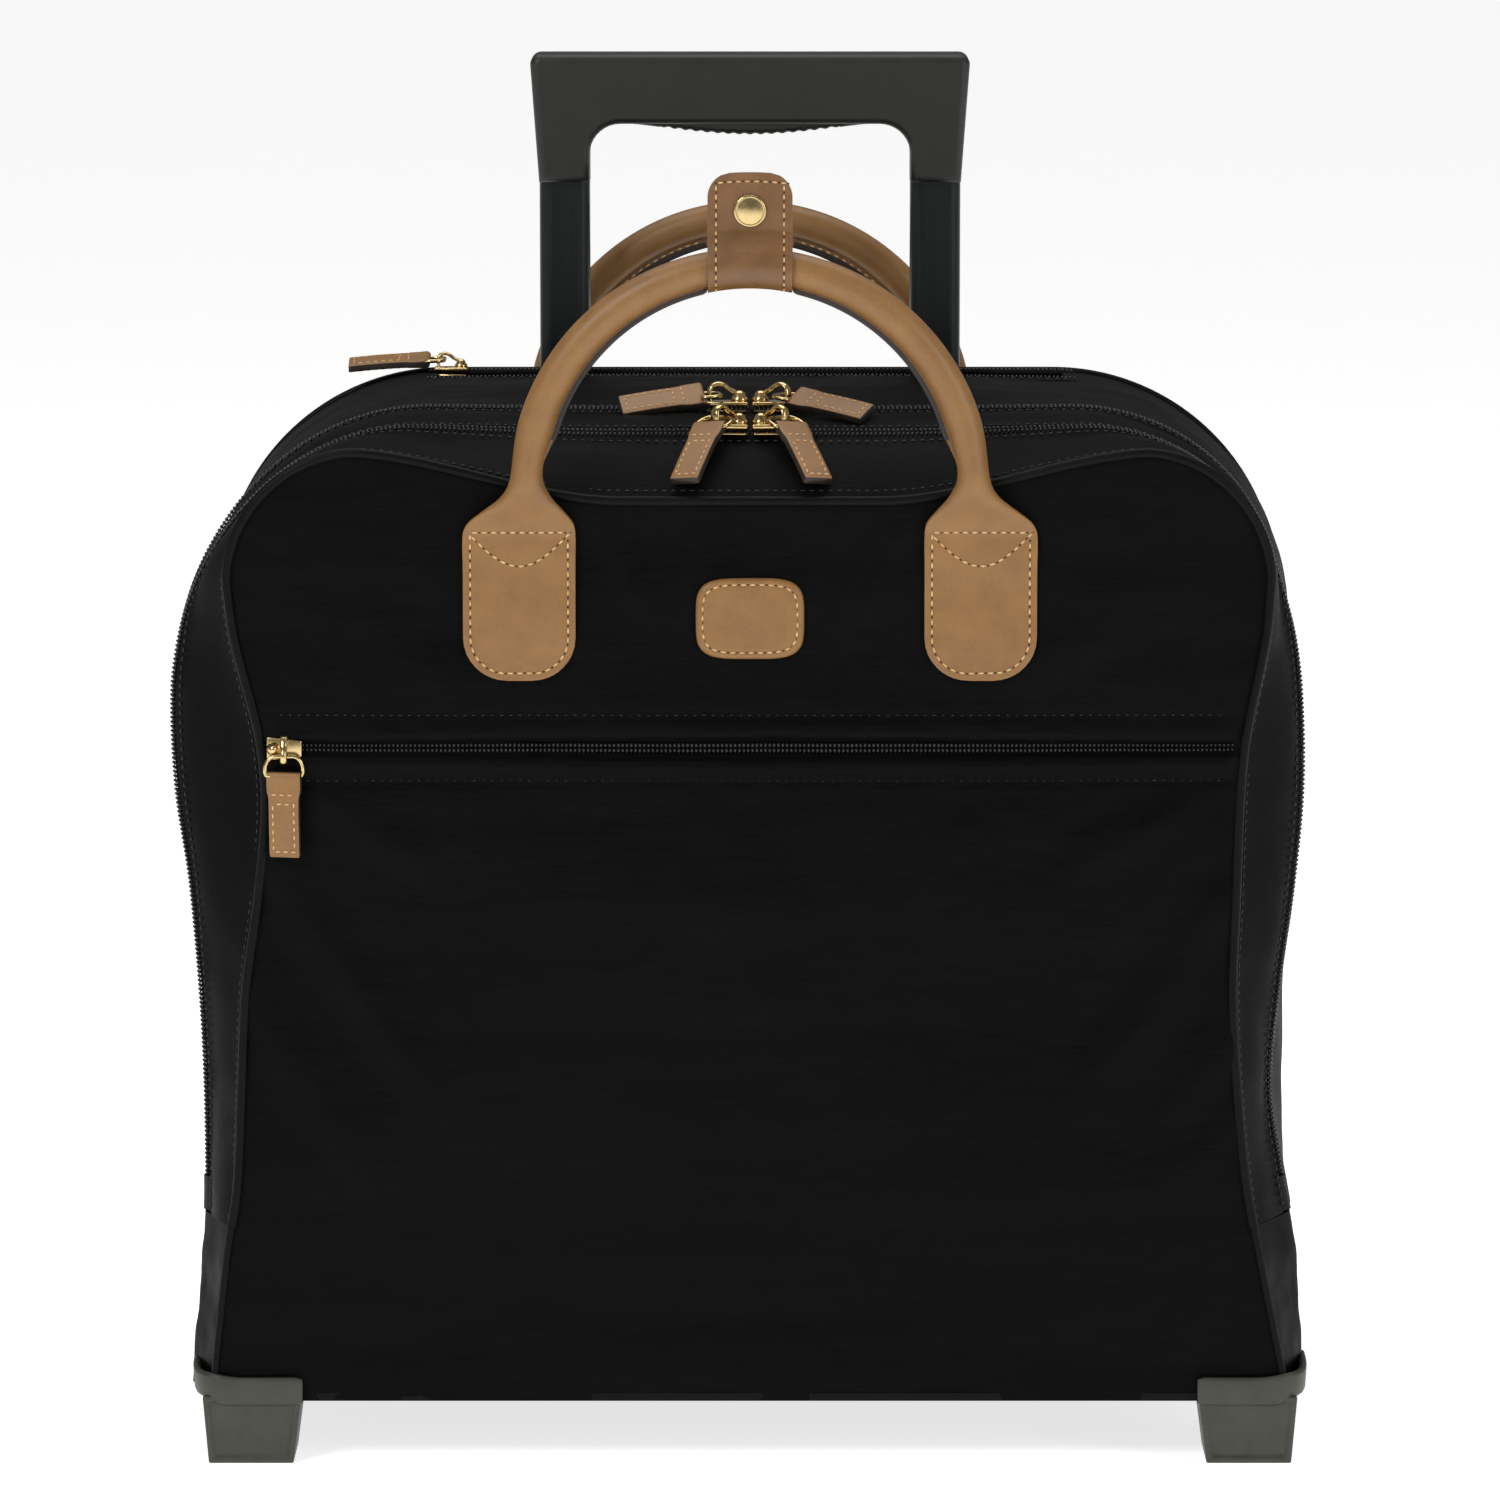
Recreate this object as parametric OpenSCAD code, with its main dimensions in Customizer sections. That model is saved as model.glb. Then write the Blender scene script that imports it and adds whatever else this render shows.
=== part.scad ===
// Rolling pilot case: a soft fabric case on a rigid base, with two front
// sections that fold open at the zips, a telescopic trolley handle in the rear
// compartment, two leather carry handles, two feet and two wheels.
// Millimetres. Z is up, the floor is z = 0, the front faces -Y.

/* [Case] */
// Width of the fabric case across its side walls
case_w = 414; // [360:1:450]
// Height of the top of the case above the floor
case_top = 390; // [350:1:470]
// Depth of the case from front panel to back panel
case_d = 200; // [180:1:240]
// Thickness of the padded fabric walls
wall = 3; // [2:0.5:4]
// Height of the bottom panel above the floor
ground = 24; // [20:1:30]
// Radius of the two top corners
corner_r = 88; // [60:1:100]

/* [Sections] */
// Depth from the front panel to the middle of the front zip
front_section_d = 31; // [24:1:40]
// Depth from the middle of the front zip to the middle of the main zip
middle_section_d = 32; // [24:1:40]
// Height of the fold line about which the front sections open
fold_z = 90; // [70:1:120]
// How far the front panel stands in from the side walls
front_inset = 16; // [0:1:20]
// How far the front panel stops below the top of the case
front_drop = 21; // [10:1:26]
// How far the front zip lies below the top of the case
zip1_drop = 5; // [0:1:8]

/* [Zips] */
// Width of a zip chain across both rows of teeth
zip_w = 6; // [5:0.5:8]
// How far a zip chain stands out of the fabric
zip_proud = 1.5; // [1:0.1:2]
// Length of a slider
slider_l = 13; // [10:0.5:16]
// Half distance between the two sliders that meet at the middle
slider_pair = 9; // [8:0.5:12]
// Width of a leather pull
pull_w = 12; // [9:0.5:14]
// Length of a leather pull
pull_l = 32; // [24:1:36]
// Thickness of a leather pull
pull_t = 3; // [2:0.5:3.5]
// Diameter of the wire of a pull ring
ring_wire = 1.4; // [1:0.1:1.6]

/* [Carry handles] */
// Diameter of the rolled leather handle
handle_d = 12.6; // [10:0.2:15]
// Half distance between the two legs of a handle
handle_hw = 82; // [70:1:95]
// Width of a handle tab
tab_w = 41.6; // [34:0.2:48]
// Length of a handle tab
tab_l = 61; // [50:1:70]
// Thickness of the leather of tabs, patch and strap
leather_t = 2.4; // [1.6:0.2:2.6]
// Width of the strap that wraps the front handle
strap_w = 31; // [24:1:38]

/* [Trolley handle] */
// Half distance between the two tubes
tube_x = 72; // [60:1:82]
// Width of the top tube
tube_w = 19.6; // [16:0.2:21]
// Depth of the top tube
tube_d = 12.6; // [10:0.2:13]
// Wall of each tube
tube_t = 1.2; // [1:0.1:1.4]
// Running gap between one tube and the next
tube_gap = 0.35; // [0.2:0.05:0.4]
// Height of the grip piece
grip_h = 49.5; // [46:0.5:56]
// Depth of the grip piece
grip_d = 24; // [20:1:26]
// How far the grip stands above its stowed place
grip_raised = 131; // [100:1:160]

/* [Feet and wheels] */
// Radius of a wheel
wheel_r = 27; // [24:0.5:30]
// Width of a wheel
wheel_w = 20; // [16:0.5:22]
// Radius of a wheel axle
axle_r = 2.5; // [2:0.1:3]
// Width of a front foot
foot_w = 33; // [28:1:38]
// Depth of a front foot
foot_d = 31; // [26:1:36]

/* [Hidden] */
$fn = 64;
hull_fn = 48;
eps = 0.01;
gap = 0.3;          // clearance between pieces that move past each other
fit = 0.02;         // clearance of a shaft in its bearing

// Colours
black_fabric = "#1a1a1c";
lining = "#3a3a3d";
tan_leather = "#93683a";
brass = "#c9a55a";
olive_plastic = "#3d3e36";
grip_plastic = "#2b2924";
dark_tube = "#20262a";
steel = "#a8acb0";
rubber = "#161616";
board = "#77726a";

// Case stations, front to back
front_y = -case_d / 2;
back_y = case_d / 2;
zip1_y = front_y + front_section_d;
zip2_y = zip1_y + middle_section_d;
half_w = case_w / 2;
base_z = ground + wall;                 // upper face of the bottom panel
flap_z = fold_z + gap;                  // lower edge of the folding sections

// An outline is [half width, top, corner radius]
main_out = [half_w, case_top, corner_r];
zip1_out = [half_w - 1, case_top - zip1_drop, corner_r - 2];
front_out = [half_w - front_inset, case_top - front_drop, corner_r - 16];
function grown(out, by) = [out[0] + by, out[1] + by, out[2] + by];

// Rear compartment and trolley
board_y = back_y - 43;                  // front face of the tube board
board_t = 3;
tube_y = (board_y + board_t + back_y - wall) / 2;
outer_top = case_top - 60;              // top of the fixed tubes
collar_h = 6;
tube_r = 4.5;
step = tube_gap + tube_t;               // from one tube's outer face to the next
mid_grow = step;
outer_grow = 2 * step;
grip_stowed = outer_top + gap + collar_h + gap;
grip_z = grip_stowed + grip_raised;     // underside of the grip's legs
grip_top = grip_z + grip_h;
grip_bar = 27;                          // height of the grip's cross bar
grip_leg_in = tube_x - tube_w / 2;      // inner face of a leg
grip_leg_out = tube_x + tube_w / 2;     // outer face of a leg
grip_top_hw = grip_leg_out + 3.6;
socket_h = 19.5;                        // how far a tube enters the grip
top_tube_z = 178;                       // lower end of the top tubes
shoe_h = 16;                            // height of the shoe in a top tube's lower end
mid_tube_z = 42;                        // lower end of the middle tubes
outer_tube_z = base_z + 5;              // lower end of the outer tubes
slot_hw = grip_top_hw + 37;             // half length of the rear zip's slot
slot_y0 = tube_y - grip_d / 2 - 2;
slot_y1 = tube_y + grip_d / 2 + 2;

// Trigger inside the grip
trigger_hw = 56;
trigger_travel = 4;
trigger_d = 10;
pocket_gap = 0.4;
bar_z = grip_top - grip_bar;            // underside of the cross bar
rod_r = 2;
spring_r = 3;
spring_x = 30;
spring_wire = 0.8;
spring_h = 6;
pocket_z0 = bar_z + 2;                  // floor of the pocket over the legs
link_z0 = pocket_z0 + gap;
link_h = 8;
pocket_z1 = link_z0 + link_h + spring_h;

// Carry handles
tab_top = case_top - 32;
handle_off = handle_d / 2 + 2.6;        // axis of a rolled handle in front of its panel
handle_y = front_y - handle_off;
arch_z = tab_top + 11;                  // centre of the handle's half circle
handle_top = arch_z + handle_hw;
strap_in = handle_d / 2 + 0.2;
strap_out = strap_in + leather_t - 0.4;
strap_layer = leather_t - 0.4;
snap_r = 6;
// The strap's path round the handle: an arc that leaves it on tangents at strap_lift
strap_lift = 30;
strap_mid = strap_in + strap_layer / 2;
layer_mid = 0.15 + strap_layer / 2;     // middle of a layer above the pinch
tangent_l = (strap_mid * cos(strap_lift) - layer_mid) / sin(strap_lift);
pinch_z = strap_mid * sin(strap_lift) + tangent_l * cos(strap_lift);
snap_z = handle_top + max(20, pinch_z + snap_r + 0.9);
strap_top = snap_z + 14;
reach = -handle_y + strap_out;          // how far the case reaches to the front and back

// Pocket and patch on the front panel
pocket_zip_z = case_top - 118.5;
pocket_hw = half_w - 28;
patch_w = 40;
patch_h = 30;
patch_z = case_top - 70;

// Feet and wheels
wheel_x = half_w - 21;
wheel_y = reach - wheel_r;
housing_x0 = wheel_x - wheel_w / 2 - 6;
housing_x1 = half_w + 1.5;
housing_y0 = wheel_y - wheel_r - 6;
housing_top = 2 * wheel_r + 8;
cheek_in = wheel_x - wheel_w / 2 - 1.5;
cheek_out = wheel_x + wheel_w / 2 + 1.5;
axle_x0 = housing_x0 + 1.5;
axle_x1 = housing_x1 - 3;
hub_r = wheel_r - 7;
bearing_r = 8;
bearing_w = 5;
foot_x1 = half_w - 3;
foot_x0 = foot_x1 - foot_w;
foot_screw = [(foot_x0 + foot_x1) / 2, front_y + 14];
housing_screws = [[housing_x0 - 6, max(housing_y0 + 8, board_y + board_t + 5)],
    [housing_x0 - 6, back_y - 12]];

// ---------- shared shapes ----------

module mirrored() {
    children();
    mirror([1, 0, 0]) children();
}

// Extrudes an X-Z drawing from y0 to y1
module across(y0, y1) {
    translate([0, y1, 0]) rotate([90, 0, 0]) linear_extrude(y1 - y0) children();
}

// Extrudes a Y-Z drawing from x0 to x1
module sideways(x0, x1) {
    translate([x0, 0, 0]) rotate([90, 0, 90]) linear_extrude(x1 - x0) children();
}

module round_rect(w, h, r) {
    square([w - 2 * r, h], center = true);
    square([w, h - 2 * r], center = true);
    for (x = [-1, 1], y = [-1, 1])
        translate([x * (w / 2 - r), y * (h / 2 - r)]) circle(r);
}

// Case outline: straight sides and round top corners
module arch(out, z0) {
    translate([-out[0], z0]) square([2 * out[0], out[1] - out[2] - z0]);
    translate([out[2] - out[0], z0]) square([2 * (out[0] - out[2]), out[1] - z0]);
    for (s = [-1, 1])
        translate([s * (out[0] - out[2]), out[1] - out[2]]) circle(out[2]);
}

// Band of constant outline: the skin between two copies of one outline
module band(out, y0, y1, outside, inside, z0) {
    difference() {
        across(y0, y1) arch(grown(out, outside), z0);
        across(y0 - 1, y1 + 1) arch(grown(out, -inside), z0 - 1);
    }
}

// Sloped band between two different outlines
module sloped_band(out_a, y_a, out_b, y_b, z0) {
    $fn = hull_fn;
    difference() {
        hull() {
            across(y_a, y_a + eps) arch(out_a, z0);
            across(y_b - eps, y_b) arch(out_b, z0);
        }
        hull() {
            across(y_a - 0.1, y_a) arch(grown(out_a, -wall), z0 - 1);
            across(y_b, y_b + 0.1) arch(grown(out_b, -wall), z0 - 1);
        }
    }
}

module zip_row(out, y0, y1) {
    color(black_fabric) band(out, y0, y1, zip_proud, 1.2, flap_z + 2);
}

// Space that the wheel housings take out of the case's rear corners
module housing_space() {
    mirrored() translate([housing_x0 - gap, housing_y0 - gap, -1])
        cube([60, 90, housing_top + gap + 1]);
}

// ---------- case shell ----------

module main_gusset() {
    color(black_fabric) difference() {
        band(main_out, zip2_y + zip_w / 2, back_y - wall, 0, wall, base_z);
        translate([-slot_hw, slot_y0, case_top - wall - 1])
            cube([2 * slot_hw, slot_y1 - slot_y0, wall + 2]);
        housing_space();
    }
}

module bottom_panel() {
    color(black_fabric) difference() {
        translate([0, 0, ground]) linear_extrude(wall) base_plan(0);
        housing_space();
        base_screw_holes(2);
    }
}

// Plan of the base: the front corners slope in towards the front panel
module base_plan(inset) {
    shoulder = half_w - 1;
    nose = half_w - 9;
    polygon([[-half_w + inset, back_y - inset], [-half_w + inset, zip2_y],
        [-shoulder + inset, zip1_y], [-nose + inset, front_y + inset],
        [nose - inset, front_y + inset], [shoulder - inset, zip1_y],
        [half_w - inset, zip2_y], [half_w - inset, back_y - inset]]);
}

module front_base_wall() {
    wall_back = zip2_y + zip_w / 2 - gap;
    color(black_fabric) translate([0, 0, base_z]) linear_extrude(fold_z - base_z)
        intersection() {
            difference() {
                base_plan(0);
                base_plan(wall);
            }
            translate([-half_w, front_y]) square([case_w, wall_back - front_y]);
        }
}

module back_panel() {
    color(black_fabric) difference() {
        across(back_y - wall, back_y) arch(main_out, base_z);
        housing_space();
    }
}

module tube_board() {
    color(board) difference() {
        across(board_y, board_y + board_t) arch(grown(main_out, -wall - gap), base_z);
        housing_space();
        for (p = rivet_spots()) translate([p[0], board_y - 1, p[1]])
            rotate([-90, 0, 0]) cylinder(r = 2.1, h = board_t + 2);
    }
}

module base_board() {
    color(board) difference() {
        translate([0, 0, base_z]) linear_extrude(wall) intersection() {
            base_plan(wall + gap);
            translate([-half_w, front_y]) square([case_w, board_y - gap - front_y]);
        }
        housing_space();
        base_screw_holes(2);
    }
}

// ---------- folding sections ----------

module middle_gusset() {
    color(black_fabric)
        sloped_band(zip1_out, zip1_y + zip_w / 2, main_out, zip2_y - zip_w / 2, flap_z);
}

module middle_wall() {
    y0 = zip1_y + zip_w / 2 + 1;
    color(lining) across(y0, y0 + 2) arch(grown(zip1_out, -wall - gap), flap_z);
}

module front_gusset() {
    color(black_fabric)
        sloped_band(front_out, front_y + wall, zip1_out, zip1_y - zip_w / 2, flap_z);
}

module front_panel() {
    color(black_fabric) across(front_y, front_y + wall) arch(front_out, flap_z);
}

module rear_zip_rows() {
    row = zip_w / 2;
    past = slot_hw + 6;
    color(black_fabric) for (y = [slot_y0 - row, slot_y1]) intersection() {
        band(main_out, y, y + row, zip_proud, 0, flap_z);
        translate([-past, y - 1, case_top - corner_r / 2])
            cube([2 * past, row + 2, corner_r]);
    }
}

module pocket_zip_rows() {
    row = zip_w / 2;
    color(black_fabric) for (z = [pocket_zip_z - row, pocket_zip_z + 0.1])
        translate([-pocket_hw, front_y - zip_proud, z])
            cube([2 * pocket_hw, zip_proud, row - 0.1]);
}

module name_patch() {
    color(tan_leather) across(front_y - leather_t, front_y)
        translate([0, patch_z]) round_rect(patch_w, patch_h, 9);
}

// ---------- zip sliders and pulls ----------

hinge_up = 4.6;       // axis of a pull above the top of the chain
hinge_out = 2.4;      // axis of a pull from the slider's middle
plate_z = 0.4;
plate_t = 1.4;
slider_w = zip_w + 3;
ring_w = pull_w + 2 * ring_wire + 0.2;
ring_l = 7.2;

// Slider on a chain along X whose top is z = 0; the pull points along yaw
module slider(yaw) {
    crown_r = ring_wire / 2 + 1.2;
    sunk = plate_z + plate_t / 2;
    color(brass) {
        translate([0, 0, plate_z]) linear_extrude(plate_t) round_rect(slider_l, slider_w, 2);
        difference() {
            rotate([0, 0, yaw]) {
                translate([hinge_out - crown_r, -1.5, sunk])
                    cube([2 * crown_r, 3, hinge_up - sunk]);
                translate([hinge_out, 1.5, hinge_up]) rotate([90, 0, 0])
                    cylinder(r = crown_r, h = 3);
            }
            rotate([0, 0, yaw]) translate([hinge_out, 2, hinge_up]) rotate([90, 0, 0])
                cylinder(r = ring_wire / 2 + gap, h = 4);
        }
    }
}

// Leather pull on its wire ring, seen from the same origin as its slider
module pull(yaw, pitch) {
    r = ring_wire / 2;
    arm = (ring_w - ring_wire) / 2;
    rotate([0, 0, yaw]) translate([hinge_out, 0, hinge_up]) rotate([0, pitch, 0]) {
        color(brass) {
            for (x = [0, ring_l]) translate([x, arm, 0]) rotate([90, 0, 0])
                cylinder(r = r, h = 2 * arm);
            for (s = [-1, 1]) translate([-r, s * arm - r, -r])
                cube([ring_l + 2 * r, 2 * r, 2 * r]);
        }
        color(tan_leather) difference() {
            translate([ring_l - pull_t / 2, -pull_w / 2, -pull_t / 2])
                cube([pull_l, pull_w, pull_t]);
            translate([ring_l, pull_w, 0]) rotate([90, 0, 0])
                cylinder(r = r + fit, h = 2 * pull_w);
        }
    }
}

// Where each slider sits, and its pull's yaw and pitch
front_zip_top = zip1_out[1] + zip_proud;
main_zip_top = case_top + zip_proud;
rear_slider_x = -slot_hw + 5;
rear_slider_y = slot_y1 + zip_w / 4;
pocket_slider_x = -pocket_hw + 7;
front_left = [[-slider_pair, zip1_y, front_zip_top], -130, 21];
front_right = [[slider_pair, zip1_y, front_zip_top], -48, 21];
main_left = [[-slider_pair, zip2_y, main_zip_top], 188, 3];
main_right = [[slider_pair, zip2_y, main_zip_top], -32, 7];
// The rear slider leans with the shoulder where the slot reaches it
rear_reach = max(0, -rear_slider_x - half_w + corner_r);
rear_lean = asin(rear_reach / (corner_r + zip_proud));
rear_top = main_zip_top - (corner_r + zip_proud) * (1 - cos(rear_lean));

module slider_at(spot) {
    translate(spot[0]) slider(spot[1]);
}
module pull_at(spot) {
    translate(spot[0]) pull(spot[1], spot[2]);
}
module on_slot() {
    translate([rear_slider_x, rear_slider_y, rear_top]) rotate([0, -rear_lean, 0]) children();
}
// The pocket's slider faces the front, so its pull hangs down
module on_pocket() {
    translate([pocket_slider_x, front_y - zip_proud, pocket_zip_z])
        rotate([90, 0, 0]) children();
}

// ---------- carry handles ----------

module handle_tabs() {
    color(tan_leather) mirrored() across(-leather_t, 0) translate([-handle_hw - 3, 0]) {
        r = 16;
        translate([-tab_w / 2, tab_top - tab_l + r]) square([tab_w, tab_l - r]);
        translate([r - tab_w / 2, tab_top - tab_l]) square([tab_w - 2 * r, r]);
        for (s = [-1, 1]) translate([s * (tab_w / 2 - r), tab_top - tab_l + r]) circle(r);
    }
}

// Rolled handle standing on flat necks, with its panel at y = 0
module handle() {
    neck_top = arch_z + 4;
    color(tan_leather) {
        translate([0, -handle_off, arch_z]) rotate([90, 0, 0])
            rotate_extrude(angle = 180) translate([handle_hw, 0]) circle(handle_d / 2);
        mirrored() {
            translate([-handle_hw, -handle_off, neck_top - 6])
                cylinder(r = handle_d / 2, h = arch_z - neck_top + 6);
            hull() {
                translate([-handle_hw - 3 - tab_w / 2, -leather_t - 0.4, tab_top + gap])
                    cube([tab_w, leather_t, 2]);
                translate([-handle_hw, -handle_off, neck_top - 7])
                    cylinder(r = handle_d / 2 - 0.2, h = 2, $fn = 32);
            }
        }
    }
}

// Turns a strap section, drawn with the handle's axis at the origin, round the handle's arch
module strap_sweep() {
    spread = asin(strap_w / 2 / (handle_hw - strap_out)) + 4;
    color(tan_leather) intersection() {
        translate([0, handle_y, arch_z]) rotate([90, 0, 0]) rotate([0, 0, 90 - spread])
            rotate_extrude(angle = 2 * spread) translate([handle_hw, 0]) rotate(-90) children();
        translate([-strap_w / 2, handle_y - 50, arch_z]) cube([strap_w, 100, 200]);
    }
}

// Back layer of the strap and the part that goes under the handle
module wrap_strap() {
    far = 3 * strap_out;
    strap_sweep() difference() {
        circle(strap_out);
        circle(strap_in);
        polygon([[0, 0], [far * cos(strap_lift), far * sin(strap_lift)], [0, far],
            [-far * cos(strap_lift), far * sin(strap_lift)]]);
    }
    strap_sweep() strap_layer_profile(strap_top - handle_top - 5, -1);
}

// One layer on the +Y side of the handle, from its tangent point up past the pinch
module strap_layer_profile(top, clear) {
    along = [-sin(strap_lift), cos(strap_lift)];
    out = [cos(strap_lift), sin(strap_lift)];
    near = clear * along;
    skived = 0.1;           // the layer is this much thinner at its start on each side
    polygon([(strap_in + skived) * out + near, [0.15, pinch_z], [0.15, top],
        [0.15 + strap_layer, top],
        [0.15 + strap_layer, pinch_z + strap_layer * tan(strap_lift / 2)],
        (strap_out - skived) * out + near]);
}

module wrap_flap() {
    difference() {
        strap_sweep() mirror([1, 0]) strap_layer_profile(strap_top - handle_top, gap);
        snap_hole();
    }
}

module snap_hole() {
    translate([0, handle_y - 10, snap_z]) rotate([-90, 0, 0]) cylinder(r = 1.6, h = 20);
}

module snap_cap() {
    face = handle_y - 0.15 - strap_layer;
    color(brass) {
        translate([0, face - 1.6, snap_z]) rotate([-90, 0, 0]) cylinder(r = snap_r, h = 1.6);
        translate([0, face, snap_z]) rotate([-90, 0, 0])
            cylinder(r = 1.5, h = strap_layer + 0.05);
    }
}

module snap_socket() {
    face = handle_y + 0.15 + strap_layer;
    color(brass) translate([0, face, snap_z]) rotate([-90, 0, 0])
        cylinder(r = snap_r - 0.5, h = 1.2);
}

// ---------- trolley handle ----------

module tube_plan(grow) {
    round_rect(tube_w + 2 * grow, tube_d + 2 * grow, tube_r + grow);
}

module at_tubes() {
    for (s = [-1, 1]) translate([s * tube_x, tube_y, 0]) children();
}

module tubes(grow, z0, z1) {
    color(dark_tube) at_tubes() translate([0, 0, z0]) linear_extrude(z1 - z0) difference() {
        tube_plan(grow);
        tube_plan(grow - tube_t);
    }
}

// A block with a hole that holds each outer tube
module tube_clamp(z0, h, hole_z0) {
    y0 = board_y + board_t;
    difference() {
        translate([-tube_x - 20, y0, z0]) cube([2 * tube_x + 40, back_y - wall - y0 - 2, h]);
        at_tubes() translate([0, 0, hole_z0]) linear_extrude(h + 20) tube_plan(outer_grow + 0.05);
        for (p = rivet_spots()) translate([p[0], y0 - 1, p[1]])
            rotate([-90, 0, 0]) cylinder(r = 2.1, h = 9);
    }
}

clamp_h = 14;
top_clamp_z = outer_top - clamp_h;
function rivet_spots() = [for (x = [-40, 40], z = [base_z + 8, top_clamp_z + 7]) [x, z]];

module bracket_rivets() {
    color(steel) for (p = rivet_spots()) translate([p[0], board_y - 1.2, p[1]])
        rotate([-90, 0, 0]) {
            cylinder(r = 4, h = 1.2);
            translate([0, 0, 1.2]) cylinder(r = 2, h = board_t + 7.5);
        }
}

module mid_tube_collars() {
    color(grip_plastic) at_tubes() translate([0, 0, outer_top + gap])
        linear_extrude(collar_h) difference() {
            tube_plan(outer_grow);
            tube_plan(0.2);
        }
}

module top_tube_shoes() {
    color(grip_plastic) at_tubes() translate([0, 0, top_tube_z - 6]) {
        linear_extrude(6) tube_plan(tube_gap - 0.15);
        translate([0, 0, 6]) linear_extrude(shoe_h - 6) tube_plan(-tube_t - 0.05);
    }
}

// Grip outline in X-Z: a bar on two legs, wider at the top, with filleted inner corners
module grip_outline() {
    fillet = 12;
    difference() {
        polygon([[-grip_leg_out, grip_z], [-grip_top_hw, grip_top], [grip_top_hw, grip_top],
            [grip_leg_out, grip_z]]);
        translate([-grip_leg_in, grip_z - 1])
            square([2 * grip_leg_in, bar_z - fillet - grip_z + 1]);
        translate([-grip_leg_in + fillet, grip_z - 1])
            square([2 * (grip_leg_in - fillet), bar_z - grip_z + 1]);
        for (s = [-1, 1]) translate([s * (grip_leg_in - fillet), bar_z - fillet]) circle(fillet);
    }
}

module grip_body() {
    color(grip_plastic) difference() {
        across(tube_y - grip_d / 2, tube_y + grip_d / 2) grip_outline();
        // sockets for the tubes and holes for the push rods
        at_tubes() translate([0, 0, grip_z - 1]) linear_extrude(socket_h + 1) tube_plan(0.03);
        at_tubes() translate([0, 0, grip_z]) cylinder(r = rod_r + 0.5, h = pocket_z0 - grip_z + 1);
        // pocket for the trigger's link, and its way out below
        translate([-tube_x - 6, tube_y - trigger_d / 2 - pocket_gap, pocket_z0])
            cube([2 * tube_x + 12, trigger_d + 2 * pocket_gap, pocket_z1 - pocket_z0]);
        translate([-trigger_hw - pocket_gap, tube_y - trigger_d / 2 - pocket_gap, bar_z - 5])
            cube([2 * (trigger_hw + pocket_gap), trigger_d + 2 * pocket_gap, 8]);
    }
}

// Bar that the fingers squeeze, ribbed below, on a link that lifts both push rods
module grip_trigger() {
    rib_n = 15;
    pitch = 2 * (trigger_hw - 8) / rib_n;
    color(grip_plastic) translate([0, tube_y, 0]) {
        translate([-trigger_hw, -trigger_d / 2, bar_z - 3])
            cube([2 * trigger_hw, trigger_d, link_z0 - bar_z + 3]);
        translate([-tube_x - 5, -trigger_d / 2, link_z0])
            cube([2 * tube_x + 10, trigger_d, link_h]);
        for (i = [0:rib_n - 1])
            translate([(i + 0.5) * pitch - trigger_hw + 8, 0, bar_z - 3])
                rotate([90, 0, 0]) cylinder(r = 1.1, h = trigger_d, center = true);
    }
}

module push_rods() {
    z0 = top_tube_z + shoe_h - 6 + gap;
    color(steel) at_tubes() translate([0, 0, z0]) cylinder(r = rod_r, h = link_z0 - z0);
}

// Close-wound springs between the link and the roof of the pocket, each a stack of turns
module trigger_springs() {
    turns = ceil(spring_h / (0.95 * spring_wire));
    pitch = (spring_h - spring_wire) / (turns - 1);
    color(steel) for (s = [-1, 1]) translate([s * spring_x, tube_y, link_z0 + link_h])
        rotate_extrude() for (i = [0:turns - 1])
            translate([spring_r, spring_wire / 2 + i * pitch]) circle(spring_wire / 2);
}

// ---------- base ----------

module base_screw_holes(r) {
    mirrored() {
        translate([foot_screw[0], foot_screw[1], 6]) cylinder(r = r, h = 40);
        for (p = housing_screws) translate([p[0], p[1], ground - 8]) cylinder(r = r, h = 30);
    }
}

module screw(top, length) {
    translate([0, 0, top]) cylinder(r = 3.5, h = 2.2);
    translate([0, 0, top - length]) cylinder(r = 1.75, h = length);
}

module base_screws() {
    head = base_z + wall;
    color(steel) mirrored() {
        translate([foot_screw[0], foot_screw[1], 0]) screw(head, head - 8);
        for (p = housing_screws)
            translate([p[0], p[1], 0]) screw(p[1] < board_y ? head : base_z, 9);
    }
}

// Corner foot: a wall round the front corner of the case, a plate under it and a block
module front_feet() {
    skirt_z0 = 16;
    skirt_z1 = ground + 10;
    t = 3.2;
    x_in = foot_x0 - 3;
    nose = half_w - 9;
    depth = foot_d + 7;
    color(olive_plastic) mirrored() difference() {
        union() {
            translate([0, 0, skirt_z0]) linear_extrude(skirt_z1 - skirt_z0)
                polygon([[x_in, front_y - t], [nose + 2, front_y - t],
                    [half_w + t - 1, zip1_y], [half_w + t - 1, front_y + depth],
                    [half_w - 12, front_y + depth], [half_w - 12, front_y], [x_in, front_y]]);
            translate([foot_x0, front_y - t + 1, 0]) cube([foot_w, foot_d, ground]);
            translate([x_in, front_y - 1, ground - t]) cube([foot_w + 4, depth, t]);
        }
        translate([0, 0, ground]) linear_extrude(40) base_plan(-0.05);
        translate([foot_screw[0], foot_screw[1], 6]) cylinder(r = 1.8, h = 40);
    }
}

// Side view of a wheel housing: a corner block with a nose that carries the axle
module housing_side() {
    skirt = 16;
    polygon([[housing_y0, skirt], [housing_y0, housing_top], [back_y + 4, housing_top],
        [back_y + 4, wheel_r + 12], [wheel_y + 14, wheel_r + 4], [wheel_y + 10, wheel_r - 10],
        [wheel_y - 10, wheel_r - 12]]);
}

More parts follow.
